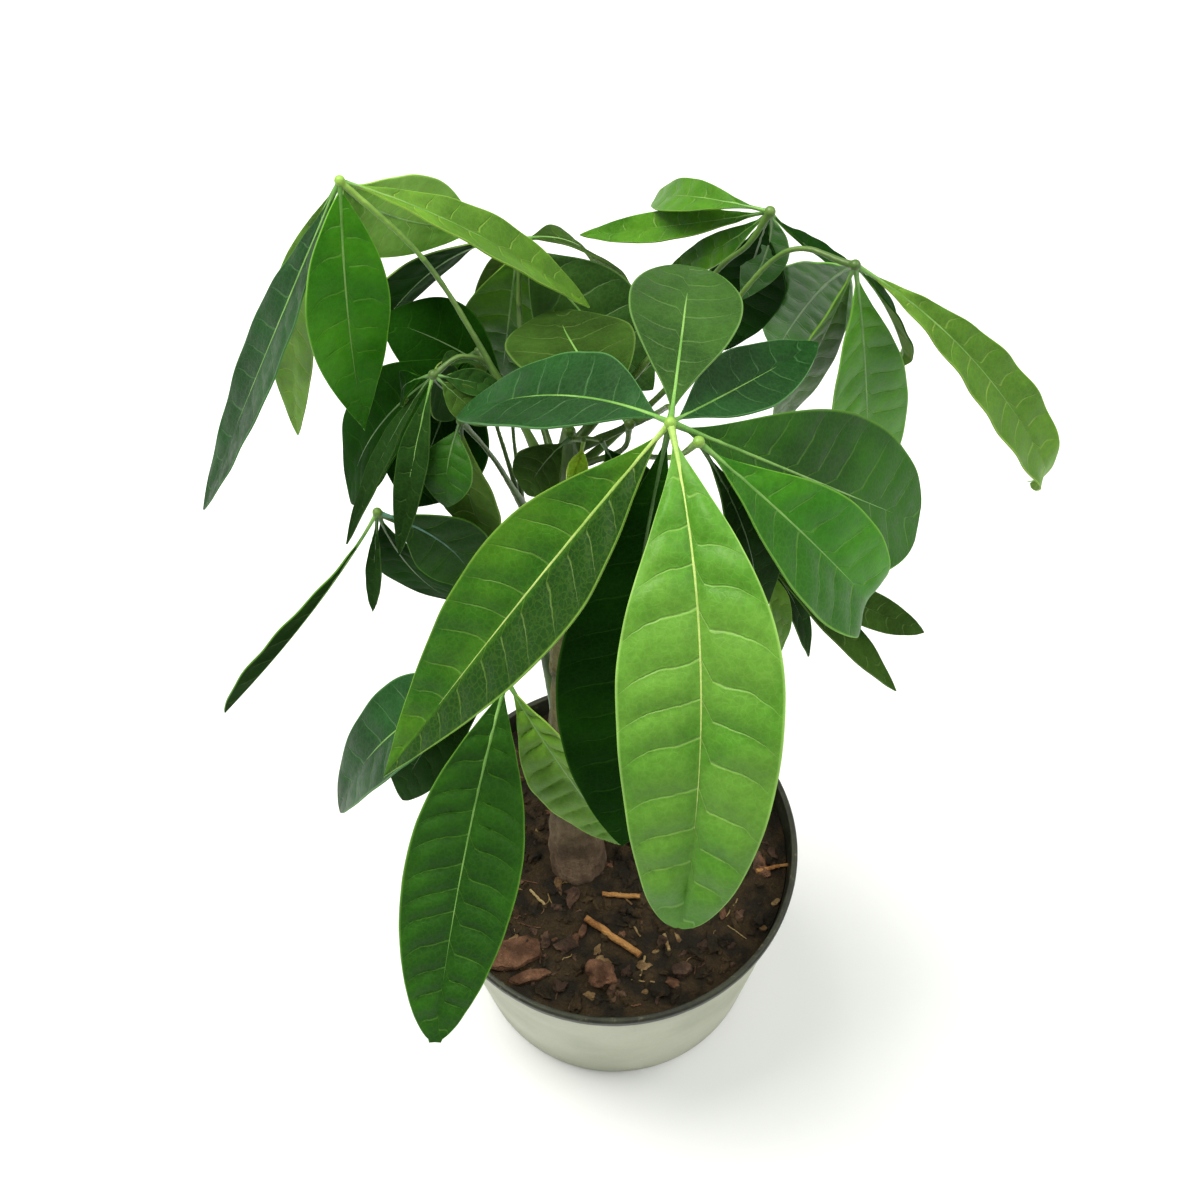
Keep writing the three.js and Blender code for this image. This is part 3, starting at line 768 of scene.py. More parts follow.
def midrib_frame(leaf, shape, t):
    """Places on the midrib at t, with the ways along it, to its left and up from the blade."""
    hub, tip = np.array(leaf["hub"], float), np.array(shape["tip"], float)
    chord = tip - hub
    line = unit(chord)
    facing = np.array(leaf["facing"], float)
    up = unit(facing - facing.dot(line) * line)
    up = np.array(Matrix.Rotation(-math.radians(shape["roll"]), 3, Vector(line)) @ Vector(up))
    left = np.cross(up, line)
    bend = hub + 0.45 * chord + 2 * shape["arch"] * up - 2 * shape["bow"] * left
    root = hub + unit(bend - hub) * (HUB_RADIUS + GAP)
    t = t[:, None]
    place = (1 - t) ** 2 * root + 2 * (1 - t) * t * bend + t**2 * tip
    ahead = unit((1 - t) * (bend - root) + t * (tip - bend))
    left = unit(left - (left * ahead).sum(1, keepdims=True) * ahead)
    up = np.cross(ahead, left)
    length = np.linalg.norm(bend - root) + np.linalg.norm(tip - bend)
    length = 0.5 * (length + np.linalg.norm(tip - root))
    return place, ahead, left, up, length


def curl_tip(place, ahead, left, up, shape, length):
    """Turns the last stretch of the midrib under, about the blade's own cross-line."""
    if not shape["curl"]:
        return place, ahead, up
    steps = len(place)
    first = int(CURL_START * (steps - 1))
    turn_each = math.radians(shape["curl"]) / (steps - 1 - first)
    place, ahead, up = place.copy(), ahead.copy(), up.copy()
    for i in range(first, steps):
        angle = turn_each * (i - first)
        forward, lift = ahead[i].copy(), up[i].copy()
        ahead[i] = math.cos(angle) * forward - math.sin(angle) * lift
        up[i] = math.cos(angle) * lift + math.sin(angle) * forward
        if i > first:
            place[i] = place[i - 1] + ahead[i] * length / (steps - 1)
    return place, ahead, up


# %% Lay the flat blade along its midrib
def hang_blade(blade, leaf, shape, seed):
    flat = points_of(blade)
    u, v = flat[:, 0], flat[:, 1]
    stations = np.unique(np.round(u, 6))
    row = np.searchsorted(stations, np.round(u, 6))
    place, ahead, left, up, length = midrib_frame(leaf, shape, stations)
    place, ahead, up = curl_tip(place, ahead, left, up, shape, length)
    foot = np.interp(stations, (0, 0.9, 1), (LEAF_FOOT, shape["blunt"], shape["blunt"]))
    outline = blade_shape(stations, shape["peak"], shape["base"], shape["point"])
    half = np.maximum(shape["width"] / 2 * outline, foot)[row]
    side = np.abs(v)

    veins = max(5, length / shape["spacing"])
    shift = (0.26 * side + 0.16 * side**3) * half / length
    lag = np.where(v > 0, 0.42, 0.0) * smoothstep(0.0, 0.16, side)
    vein = veins * (u - shift) - lag
    vein = vein + 0.10 * np.sin(1.9 * vein + seed) + 0.04 * np.sin(7 * side + 2.3 * seed)

    ends = smoothstep(0.04, 0.16, u) * (1 - smoothstep(0.9, 1.0, u))
    middle = smoothstep(0.02, 0.22, side) * (1 - smoothstep(0.72, 1.0, side))
    puff = np.abs(np.sin(np.pi * vein)) ** 0.75 - 0.6
    rise = shape["quilt"] * puff * middle * ends

    angle = math.radians(shape["fold"])
    soft = np.sqrt(side**2 + 0.05**2) - 0.05
    rise += half * soft * math.sin(angle)
    rise += shape["cup"] * 4 * (side - side**2) * ends
    ripple = np.sin(2 * np.pi * (0.55 * veins * u + np.where(v > 0, 0.3, 0.0)) + seed)
    rise += shape["wave"] * ripple * side**3 * ends
    spots = [noise.noise(Vector((6 * a, 2 * b, 7.7 * seed))) for a, b in zip(u, v)]
    rise += 0.05 * half * np.array(spots) * ends * smoothstep(0.0, 0.3, side)

    sideways = (v * half * math.cos(angle))[:, None]
    points = place[row] + left[row] * sideways + up[row] * rise[:, None]
    move_points(blade, points * MM)
    keep_attribute(blade, "vein", vein)
    keep_attribute(blade, "across", side)
    left_shade, right_shade = shape["shade"]
    shade = np.where(v > 0, left_shade, right_shade)
    keep_attribute(blade, "shade", shade * smoothstep(0.0, 0.12, side))
    return length


RIB_POINTS = 36
RIB_TIP = 0.16


def make_rib(leaf, shape, width):
    """The midrib, from inside the hub to just short of the tip."""
    t = np.linspace(0, 1, RIB_POINTS)
    place, ahead, left, up, length = midrib_frame(leaf, shape, t)
    place, ahead, up = curl_tip(place, ahead, left, up, shape, length)
    foot = 0.32 + 0.009 * width
    radius = foot * (1 - t) ** 0.8 + RIB_TIP * t
    radius[:4] = [1.25 * foot, 1.12 * foot, 1.04 * foot, foot]
    sink = radius * 0.15 * smoothstep(0.0, 0.12, t)
    line = place - up * sink[:, None]
    hub = np.array(leaf["hub"], float)
    start = hub + unit(line[0] - hub) * 0.6
    line = np.vstack([start, line])
    radius = np.concatenate([[1.2 * radius[0]], radius])
    return tube("rib", line * MM, radius * MM, bevel=1)


def make_leaflet(name, leaf, shape, seed):
    master = BROAD_BLADE if shape["width"] >= 17 else NARROW_BLADE
    blade = master.copy()
    blade.data = master.data.copy()
    bpy.context.scene.collection.objects.link(blade)
    blade.name = name
    hang_blade(blade, leaf, shape, seed)
    sides = [LEAF_TOPS[shape["look"]], LEAF_BACKS[shape["back"]]]
    if shape["flip"]:
        sides.reverse()
    for material in sides:
        blade.data.materials.append(material)
    modify(blade, "SOLIDIFY", thickness=LEAF_THICKNESS * MM, offset=0, material_offset=1)
    rib = make_rib(leaf, shape, shape["width"])
    rib.data.materials.append(RIBS[shape["rib"]])
    pick(rib, blade)
    bpy.ops.object.join()
    smooth(blade, 60)
    return blade


leaflet_count = 0
for leaf_name, leaf in LEAVES.items():
    for part, shape in leaf["leaflets"].items():
        node = f"leaf_{leaf_name}_{part}"
        piece = make_leaflet(f"leaflet_{leaf_name}_{part}", leaf, shape, 1.0 + 1.7 * leaflet_count)
        hand_over(piece, "leaf", node)
        leaflet_count += 1

# %% Leaflets that show only in part
# They fill the middle of the crown and face the camera. Each hangs on a hub of the table above, or on
# a short stalk of its own, which YOUNG_STALKS lists for the stem further down.
TO_CAMERA = (0, -0.53, 0.85)
HALF_HIDDEN = {
    "crown_pale": ((-21, 92, 267), leaflet((-30, 94, 201), 27, 2, 0, 0, 4, look="fresh", quilt=0.5)),
    "crown_back": ((-21, 92, 267), leaflet((14, 72, 228), 30, -4, 0, 0, 4, look="grey", quilt=0.5)),
    "crown_dark": ((-25, 70, 233), leaflet((-62, 96, 233), 24, 2, 2, 0, 6, look="deep", rib="dark")),
    "crown_shade": ((-36, 83, 236), leaflet((-58, 66, 184), 34, 2, 0, 0, 6, look="deep", rib="dark")),
    "left_side_a": ((-43, 51, 262), leaflet((-25, 49, 258), 7, 1, 0, 0, 12, look="dusk", rib="dark")),
    "left_side_b": ((-43, 51, 262), leaflet((-29, 42, 252), 9, 1, 0, 0, 12, look="olive", rib="dark")),
    "top_young": ((-8, 27, 266), leaflet((-20, 26, 244), 14, 2, 1, 0, 14, look="olive", rib="dark")),
    "top_side": ((-1, 22, 271), leaflet((9, 27, 232), 15, 2, 0, 0, 10, look="deep", rib="dark")),
    "top_bud": ((-5, 19, 275), leaflet((-9, 11, 268), 6, 1, 0, 20, 35, look="bud", rib="pale")),
    "right_dark": ((41, 67, 300), leaflet((36, 96, 216), 22, -2, 0, 0, 6, base=2.2, look="deep",
                                          rib="dark")),
    "low_right_flap": ((38, 14, 232), leaflet((27, 11, 248), 11, 1, 0, 0, 8, look="grey", flip=True)),
}
YOUNG_STALKS = {
    "crown_dark": [(-23, 52, 196), (-25, 63, 216), (-25, 70, 233)],
    "crown_shade": [(-23, 52, 196), (-30, 70, 216), (-36, 83, 236)],
    "top_young": [(-9, 35, 254), (-9, 30, 261), (-8, 27, 266)],
    "top_side": [(-9, 35, 254), (-5, 28, 264), (-1, 22, 271)],
    "top_bud": [(-9, 35, 254), (-7, 26, 266), (-5, 19, 275)],
}
for name, (hub, shape) in HALF_HIDDEN.items():
    leaf = dict(hub=hub, facing=TO_CAMERA)
    piece = make_leaflet(f"leaflet_{name}", leaf, shape, 3.0 + 1.3 * leaflet_count)
    hand_over(piece, "leaf")
    leaflet_count += 1
for blade in (BROAD_BLADE, NARROW_BLADE):
    bpy.data.objects.remove(blade)
print("leaflets made:", leaflet_count)

# %% [markdown]
# ## Trunk, stalks and hubs
#
# The trunk, the second shoot, the stalks and the hubs grew as one piece, so their joins have no seam.
# They start as separate tubes and balls, with short stalks for the half-hidden leaflets among them. A
# voxel remesh then melts them into one skin, and a smoothing pass rounds the joins. The bark's ridges
# and leaf scars are pushed out of that skin afterwards, because the remesh would wash them away.

# %% Raw stem
TRUNK_PATH = [(-12, -3, 62), (-12, -2, 78), (-12.5, 1, 96), (-13, 8, 130), (-12, 17, 170),
              (-12, 27, 215), (-10, 34, 246), (-9, 36, 258)]
TRUNK_RADII = [7.0, 9.5, 8.3, 5.8, 4.9, 4.4, 3.4, 1.6]
SHOOT_PATH = [(-12.5, 2, 104), (-17, 24, 140), (-22, 44, 176), (-23, 54, 200)]
SHOOT_RADII = [2.4, 1.9, 1.7, 1.6]
STALK_RADII = [1.6, 1.05, 0.85, 0.75, 0.72, 0.78, 1.0]
YOUNG_RADII = [1.0, 0.6, 0.7]


def branch(name, path, radii, count):
    return tube(name, through(path, count) * MM, along(radii, count) * MM, bevel=4)


parts = [branch("trunk", TRUNK_PATH, TRUNK_RADII, 60), branch("shoot", SHOOT_PATH, SHOOT_RADII, 30)]
for leaf_name, leaf in LEAVES.items():
    route = [*leaf["stalk"], leaf["hub"]]
    parts.append(branch(f"stalk_{leaf_name}", route, STALK_RADII, 40))
    bpy.ops.mesh.primitive_ico_sphere_add(subdivisions=3, radius=1.45 * MM,
                                          location=Vector(leaf["hub"]) * MM)
    knob = bpy.context.object
    bake_place(knob)
    parts.append(knob)
for name, route in YOUNG_STALKS.items():
    parts.append(branch(f"stalk_{name}", route, YOUNG_RADII, 20))
pick(*parts[1:], parts[0])
bpy.ops.object.join()
stem = bpy.context.object
stem.name = "trunk_and_stalks"
modify(stem, "REMESH", mode="VOXEL", voxel_size=0.42 * MM)
modify(stem, "SMOOTH", factor=0.5, iterations=3)
print("stem faces:", len(stem.data.polygons))

# %% Bark, leaf scars and the numbers that colour the stem
SCAR_HEIGHTS = (104, 119, 133, 150, 171, 190, 203, 219, 233)


def nearest_on(path, points):
    """For each point: how far it is from the path, and the height of the path's nearest point."""
    best = np.full(len(points), 1e9)
    height = np.zeros(len(points))
    for spot in path:
        gap = np.linalg.norm(points - spot, axis=1)
        closer = gap < best
        best[closer] = gap[closer]
        height[closer] = spot[2]
    return best, height


points = points_of(stem) / MM
trunk_line = through(TRUNK_PATH, 160)
trunk_radius = along(TRUNK_RADII, 160)
gap, height = nearest_on(trunk_line, points)
on_trunk = 1 - smoothstep(1.0, 2.2, gap - np.interp(height, trunk_line[:, 2], trunk_radius))

normals = np.empty(len(stem.data.vertices) * 3)
stem.data.vertices.foreach_get("normal", normals)
normals = normals.reshape(-1, 3)
around = np.arctan2(points[:, 1] - np.interp(height, trunk_line[:, 2], trunk_line[:, 1]),
                    points[:, 0] - np.interp(height, trunk_line[:, 2], trunk_line[:, 0]))
ridges = np.array([noise.noise(Vector((3.2 * math.cos(a), 3.2 * math.sin(a), 0.06 * z)))
                   for a, z in zip(around, points[:, 2])])
lumps = np.array([noise.noise(Vector(p) * 0.11) for p in points])
lift = 0.42 * ridges + 0.9 * lumps
for index, scar in enumerate(SCAR_HEIGHTS):
    facing = np.cos(around - 2.4 * index)
    lift += 0.75 * np.exp(-(((height - scar) / 1.6) ** 2)) * smoothstep(-0.4, 0.9, facing)
points += normals * (lift * on_trunk)[:, None]
stalk_lumps = np.array([noise.noise(Vector(p) * 0.35) for p in points])
points += normals * (0.12 * stalk_lumps * (1 - on_trunk))[:, None]
move_points(stem, points * MM)

hub_places = np.array([leaf["hub"] for leaf in LEAVES.values()], float)
stalk_young_and_lit = np.array([leaf["fresh"] for leaf in LEAVES.values()])
to_hubs = np.linalg.norm(points[:, None, :] - hub_places[None], axis=2)
near = to_hubs.argmin(1)
keep_attribute(stem, "bark", on_trunk * (1 - smoothstep(185, 250, height)))
# fresh: how much pale green a stalk shows near its hub, partly its young colour and partly painted
# light on the stalks in the sun; a low value leaves painted shade.
keep_attribute(stem, "fresh", stalk_young_and_lit[near] * (1 - smoothstep(2.5, 70, to_hubs.min(1))))
keep_attribute(stem, "low", 1 - smoothstep(82, 130, points[:, 2]))

# %% Stem material
def make_stem_material():
    material, net, shader = new_material("bark_and_stalk", Subsurface_Weight=0.05,
                                         Subsurface_Radius=LIGHT_REACH, Subsurface_Scale=LIGHT_DEPTH)
    bark = place_group(net, MOTTLE, Light=rgb(128, 106, 88), Dark=rgb(84, 66, 52),
                       Cloud_Scale=110.0, Grain_Scale=900.0, Grain=0.7)
    upper = place_group(net, MOTTLE, Light=rgb(92, 88, 48), Dark=rgb(62, 58, 32),
                        Cloud_Scale=90.0, Grain_Scale=700.0, Grain=0.5)
    # The stalk greens hold painted light and shade: the dark green is the stalks' colour with painted
    # shade, and the pale fresh green near the hubs is partly their young colour, partly painted light.
    green = place_group(net, MOTTLE, Light=rgb(66, 96, 40), Dark=rgb(44, 68, 28),
                        Cloud_Scale=60.0, Grain_Scale=1100.0, Grain=0.35)
    fresh = place_group(net, MOTTLE, Light=rgb(132, 172, 70), Dark=rgb(104, 148, 52),
                        Cloud_Scale=80.0, Grain_Scale=1200.0, Grain=0.3)
    stalk = net.mix(net.attribute("fresh"), green.outputs["Color"], fresh.outputs["Color"])
    trunk = net.mix(net.attribute("low"), upper.outputs["Color"], bark.outputs["Color"])
    colour = net.mix(net.attribute("bark"), stalk, trunk)
    stretch = net.add("ShaderNodeMapping")
    stretch.inputs["Scale"].default_value = (1, 1, 0.18)
    net.link(net.place(), stretch.inputs["Vector"])
    streak = net.noise(700.0, 4.0, 0.65, stretch.outputs["Vector"])
    cracks = net.steps(streak, 0.5, 0.68)
    dark = net.math("MULTIPLY", cracks, net.math("MULTIPLY", net.attribute("bark"), 0.45))
    colour = net.mix(dark, colour, rgb(44, 32, 24))
    net.link(colour, shader.inputs["Base Color"])
    rough = net.math("MULTIPLY_ADD", net.attribute("bark"), 0.4, 0.45)
    net.link(rough, shader.inputs["Roughness"])
    height = net.math("MULTIPLY", net.math("ADD", streak, bark.outputs["Grain"]),
                      net.math("MULTIPLY_ADD", net.attribute("bark"), 0.9, 0.1))
    bump(net, shader, height, 0.6, 0.0004)
    return material


stem.data.materials.clear()
stem.data.materials.append(make_stem_material())
smooth(stem, 80)
hand_over(stem, "stem", "stem")
print("stem vertices:", len(stem.data.vertices))

# %% [markdown]
# ## The pot
#
# A nursery pot is a thin tapered cup with a thicker lip. It is turned in one go: a filled circle is
# the underside, and each extrusion with a scale adds the next ring of the wall, over the lip, down
# the inside and across the floor. A bevel softens the edges that the mould would not leave sharp.

# %% Pot
POT_SIDES = 160
POT_HEIGHT = 85.0
LIP_HEIGHT = 5.0
POT_RIM, POT_MOUTH, POT_BASE = 60.0, 58.0, 49.6
LIP_STEP, POT_WALL, POT_FLOOR = 1.4, 1.2, 1.6
DRAIN_HOLES, DRAIN_RADIUS, DRAIN_CIRCLE = 5, 4.0, 30.0
LIP_FOOT = POT_HEIGHT - LIP_HEIGHT


def wall_radius(z):
    """The tapered wall's outer radius at a height, without the lip."""
    return POT_BASE + (POT_RIM - LIP_STEP - POT_BASE) * z / LIP_FOOT


POT_PROFILE = [
    (POT_BASE - 1, 0), (POT_BASE, 1), (wall_radius(40), 40), (wall_radius(LIP_FOOT), LIP_FOOT),
    (POT_RIM - 0.2, LIP_FOOT + LIP_STEP), (POT_RIM, POT_HEIGHT - 0.6),
    (POT_RIM - 0.6, POT_HEIGHT), (POT_MOUTH, POT_HEIGHT),
    (wall_radius(LIP_FOOT) - POT_WALL, LIP_FOOT), (wall_radius(40) - POT_WALL, 40),
    (POT_BASE - POT_WALL, POT_FLOOR),
]


def turn_profile(name, profile, sides):
    """A closed turned body: a filled circle, extruded and scaled through the profile's rings."""
    radius, z = profile[0]
    bpy.ops.mesh.primitive_circle_add(vertices=sides, radius=radius * MM, fill_type="NGON",
                                      location=(0, 0, z * MM))
    body = bpy.context.object
    body.name = name
    bake_place(body)
    edit_select(body, lambda face: True)
    for next_radius, next_z in profile[1:]:
        bpy.ops.mesh.extrude_region_move(TRANSFORM_OT_translate={"value": (0, 0, (next_z - z) * MM)})
        share = next_radius / radius
        bpy.ops.transform.resize(value=(share, share, 1))
        radius, z = next_radius, next_z
    bpy.ops.mesh.select_all(action="SELECT")
    bpy.ops.mesh.normals_make_consistent(inside=False)
    leave_edit()
    return body


pot = turn_profile("nursery_pot", POT_PROFILE, POT_SIDES)
modify(pot, "BEVEL", width=0.3 * MM, segments=3, limit_method="ANGLE", angle_limit=math.radians(25))
for hole in range(DRAIN_HOLES):
    angle = 2 * math.pi * (hole + 0.5) / DRAIN_HOLES
    at = (DRAIN_CIRCLE * MM * math.cos(angle), DRAIN_CIRCLE * MM * math.sin(angle), 0)
    bpy.ops.mesh.primitive_cylinder_add(vertices=48, radius=DRAIN_RADIUS * MM, depth=8 * MM,
                                        location=at)
    drill = bpy.context.object
    modify(pot, "BOOLEAN", object=drill, operation="DIFFERENCE", solver="EXACT")
    bpy.data.objects.remove(drill)
print("pot faces:", len(pot.data.polygons))

# %% [markdown]
# The pot's wall is pale grey-green plastic. Only the lip and the inside are dark, and the dark runs a
# little way down the lip's outside, with soil dust and small scuffs along the edge.

# %% Pot materials
def make_pot_material():
    material, net, shader = new_material("pot_plastic", Subsurface_Weight=0.0, Specular_IOR_Level=0.4)
    wall = place_group(net, MOTTLE, Light=rgb(174, 178, 158), Dark=rgb(156, 161, 140),
                       Cloud_Scale=28.0, Grain_Scale=700.0, Grain=0.12)
    lip = place_group(net, MOTTLE, Light=rgb(42, 46, 34), Dark=rgb(26, 30, 22),
                      Cloud_Scale=120.0, Grain_Scale=900.0, Grain=0.5)
    spread = net.tree.nodes.new("ShaderNodeSeparateXYZ")
    net.link(net.place(), spread.inputs[0])
    radius = net.math("SQRT", net.math("ADD", net.math("POWER", spread.outputs["X"], 2.0),
                                       net.math("POWER", spread.outputs["Y"], 2.0)))
    # how far a place lies inside the outer wall, by the wall's own taper
    taper = (POT_RIM - LIP_STEP - POT_BASE) / LIP_FOOT
    outer = net.math("MULTIPLY_ADD", spread.outputs["Z"], taper, POT_BASE * MM)
    inside = net.steps(net.math("SUBTRACT", outer, radius), 0.5 * MM, 0.7 * MM)
    wobble = net.math("MULTIPLY", net.math("SUBTRACT", net.noise(120.0, 4.0, 0.6), 0.5), 1.8 * MM)
    top = net.steps(net.math("ADD", spread.outputs["Z"], wobble), 81.8 * MM, 82.2 * MM)
    dark = net.math("MAXIMUM", inside, top)
    colour = net.mix(dark, wall.outputs["Color"], lip.outputs["Color"])
    floor_line = net.math("SUBTRACT", 1.0, net.steps(spread.outputs["Z"], 0.4 * MM, 2.2 * MM))
    colour = net.mix(net.math("MULTIPLY", floor_line, 0.45), colour, rgb(132, 122, 98))
    dust = net.math("MULTIPLY", net.steps(net.noise(420.0, 5.0, 0.7), 0.56, 0.7),
                    net.steps(spread.outputs["Z"], 70 * MM, 86 * MM))
    colour = net.mix(net.math("MULTIPLY", dust, 0.45), colour, rgb(118, 112, 92))
    net.link(colour, shader.inputs["Base Color"])
    rough = net.math("MULTIPLY_ADD", net.noise(60.0, 4.0), 0.25, 0.35)
    net.link(rough, shader.inputs["Roughness"])
    bump(net, shader, net.noise(900.0, 3.0), 0.12, 0.0003)
    return material


pot.data.materials.clear()
pot.data.materials.append(make_pot_material())
smooth(pot, 30)
hand_over(pot, "pot", "pot")

# %% [markdown]
# ## Soil
#
# The soil is one plug of damp peat and bark. Its top is a round sheet filled as a grid and divided
# finely, so that noise can raise clods in it, and the plug's side is that sheet's edge, extruded
# down into the pot. Loose crumbs, bark and fibres are laid on top as separate pieces.

# %% Soil plug
SOIL_EDGE, SOIL_CENTRE = 77.0, 78.4
SOIL_RADIUS = wall_radius(SOIL_EDGE) - POT_WALL - GAP
PLUG_DEPTH = 74.0


def soil_height(x, y):
    """The clods' height at a place, in millimetres."""
    reach = math.hypot(x, y) / SOIL_RADIUS
    mound = SOIL_EDGE + (SOIL_CENTRE - SOIL_EDGE) * (1 - smoothstep(0.35, 1.0, reach))
    clods = noise.fractal(Vector((x * 0.16, y * 0.16, 3.1)), 0.9, 2.2, 4)
    return float(mound + 1.1 * clods * (1 - 0.5 * reach**4))


bpy.ops.mesh.primitive_circle_add(vertices=128, radius=SOIL_RADIUS * MM, fill_type="NOTHING",
                                  location=(0, 0, SOIL_EDGE * MM))
soil = bpy.context.object
soil.name = "potting_mix"
bake_place(soil)
edit_select(soil, lambda edge: True, "EDGE")
bpy.ops.mesh.fill_grid(span=32)
bpy.ops.mesh.select_all(action="SELECT")
bpy.ops.mesh.subdivide(number_cuts=3)
leave_edit()
top = points_of(soil) / MM
top[:, 2] = [soil_height(x, y) for x, y in top[:, :2]]
move_points(soil, top * MM)
pick(soil)
bpy.ops.object.mode_set(mode="EDIT")
bpy.ops.mesh.select_mode(type="EDGE")
bpy.ops.mesh.select_all(action="DESELECT")
bpy.ops.mesh.select_non_manifold()
bpy.ops.mesh.extrude_edges_move(TRANSFORM_OT_translate={"value": (0, 0, -PLUG_DEPTH * MM)})
foot_share = (POT_BASE - POT_WALL - GAP) / SOIL_RADIUS
bpy.ops.transform.resize(value=(foot_share, foot_share, 1))
bpy.ops.mesh.edge_face_add()
bpy.ops.mesh.select_all(action="SELECT")
bpy.ops.mesh.normals_make_consistent(inside=False)
leave_edit()
print("soil faces:", len(soil.data.polygons))

# %% Soil and bark materials
def crumb_material(name, light, dark, grain=0.8, rough=0.85, cloud=140.0):
    material, net, shader = new_material(name, Specular_IOR_Level=0.35)
    mix = place_group(net, MOTTLE, Light=light, Dark=dark, Cloud_Scale=cloud, Grain_Scale=1100.0,
                      Grain=grain)
    net.link(mix.outputs["Color"], shader.inputs["Base Color"])
    damp = net.math("MULTIPLY_ADD", net.steps(net.noise(90.0, 3.0), 0.4, 0.6), -0.3, rough)
    net.link(damp, shader.inputs["Roughness"])
    height = net.math("ADD", mix.outputs["Grain"], net.noise(2400.0, 4.0, 0.7))
    bump(net, shader, height, 0.9, 0.0005)
    return material


PEAT = crumb_material("peat", rgb(58, 44, 25), rgb(27, 20, 9))
CRUMB = crumb_material("peat_crumb", rgb(68, 52, 30), rgb(34, 25, 12))
BARK_RED = crumb_material("bark_reddish", rgb(124, 88, 68), rgb(80, 52, 36), grain=0.6)
BARK_DARK = crumb_material("bark_dark", rgb(98, 74, 60), rgb(60, 42, 33), grain=0.7)
BARK_TAN = crumb_material("bark_tan", rgb(150, 124, 88), rgb(108, 82, 54), grain=0.6)
TWIG_TAN = crumb_material("twig_tan", rgb(190, 140, 84), rgb(146, 98, 54), grain=0.5, rough=0.7)
FIBRE = crumb_material("fibre", rgb(186, 164, 118), rgb(140, 114, 70), grain=0.4, rough=0.7)

soil.data.materials.append(PEAT)
smooth(soil, 60)
hand_over(soil, "soil", "soil")

# %% [markdown]
# ### Crumbs
#
# Hundreds of crumbs need only a few dozen faces each. Four lumps are shaped from an icosphere by
# pushing its corners about, and every crumb is a turned, squeezed copy of one of them, half sunk in
# the soil. A fixed seed keeps them in the same places each time.

# %% Crumbs
SEED = 7
FULL_TURN = 6.28                      # radians
TRUNK_FOOT = (-12, -2)                # where the trunk stands in the soil
dice = random.Random(SEED)
noise.seed_set(SEED)  # noise_vector, which bends the twigs, is seeded from the clock otherwise


def from_trunk(x, y):
    return math.hypot(x - TRUNK_FOOT[0], y - TRUNK_FOOT[1])


def lump(name, subdivisions, roughness, seed, size=(1, 1, 1)):
    """An irregular lump about 2 units across."""
    bpy.ops.mesh.primitive_ico_sphere_add(subdivisions=subdivisions, radius=1)
    piece = bpy.context.object
    piece.name = name
    shaped = []
    for x, y, z in points_of(piece):
        push = 1 + roughness * noise.noise(Vector((x, y, z)) * 1.3 + Vector((seed, 0, 0)))
        push += 0.35 * roughness * noise.noise(Vector((x, y, z)) * 3.7 + Vector((0, seed, 0)))
        shaped.append((x * push * size[0], y * push * size[1], z * push * size[2]))
    move_points(piece, shaped)
    return piece


def scatter(name, masters, count, sizes, flat, materials, keep_off=9.5, reach=54.0, sink=0.35):
    """Lays count copies of the masters on the soil and joins them into one piece."""
    copies = []
    while len(copies) < count:
        angle, far = dice.uniform(0, 2 * math.pi), reach * math.sqrt(dice.random())
        x, y = far * math.cos(angle), far * math.sin(angle)
        size = sizes[0] + (sizes[1] - sizes[0]) * dice.random() ** 2.2
        if from_trunk(x, y) < keep_off or far + size > reach + 1:
            continue
        master = dice.choice(masters)
        copy = bpy.data.objects.new(name, master.data.copy())
        bpy.context.scene.collection.objects.link(copy)
        thin = size * dice.uniform(*flat)
        heading = Matrix.Rotation(dice.uniform(0, FULL_TURN), 4, "Z")
        turn = heading @ Matrix.Rotation(dice.uniform(-0.4, 0.4), 4, "X")
        scale = Matrix.Diagonal((size * dice.uniform(0.8, 1.5), size * dice.uniform(0.6, 1.0), thin, 1))
        z = soil_height(x, y) + thin * (1 - 2 * sink)
        copy.data.transform(Matrix.Scale(MM, 4) @ Matrix.Translation((x, y, z)) @ turn @ scale)
        copy.data.materials.append(dice.choice(materials))
        copies.append(copy)
    pick(*copies)
    bpy.ops.object.join()
    piece = bpy.context.object
    piece.name = name
    smooth(piece, 40)
    hand_over(piece, "soil")
    return piece


lumps = [lump(f"lump_{i}", 2, 0.8, 10.0 * i + 3) for i in range(4)]
crumbs = scatter("soil_crumbs", lumps, 620, (0.5, 2.2), (0.5, 0.9), [CRUMB, CRUMB, PEAT, BARK_DARK])
flakes = scatter("bark_flakes", lumps, 120, (0.9, 3.0), (0.25, 0.5),
                 [BARK_DARK, BARK_RED, BARK_TAN, CRUMB])
print("crumbs:", len(crumbs.data.polygons), "flakes:", len(flakes.data.polygons))
for piece in lumps:
    bpy.data.objects.remove(piece)

# %% [markdown]
# ### Bark chips and twigs
#
# The five bigger pieces on the soil have solids of their own. A chip is a block whose corners are
# pushed about and whose layers show on its sides, and a twig is a slightly bent tube.

# %% Chips
RESTING_GAP = 0.1                     # between a chip or twig and the soil's highest point under it


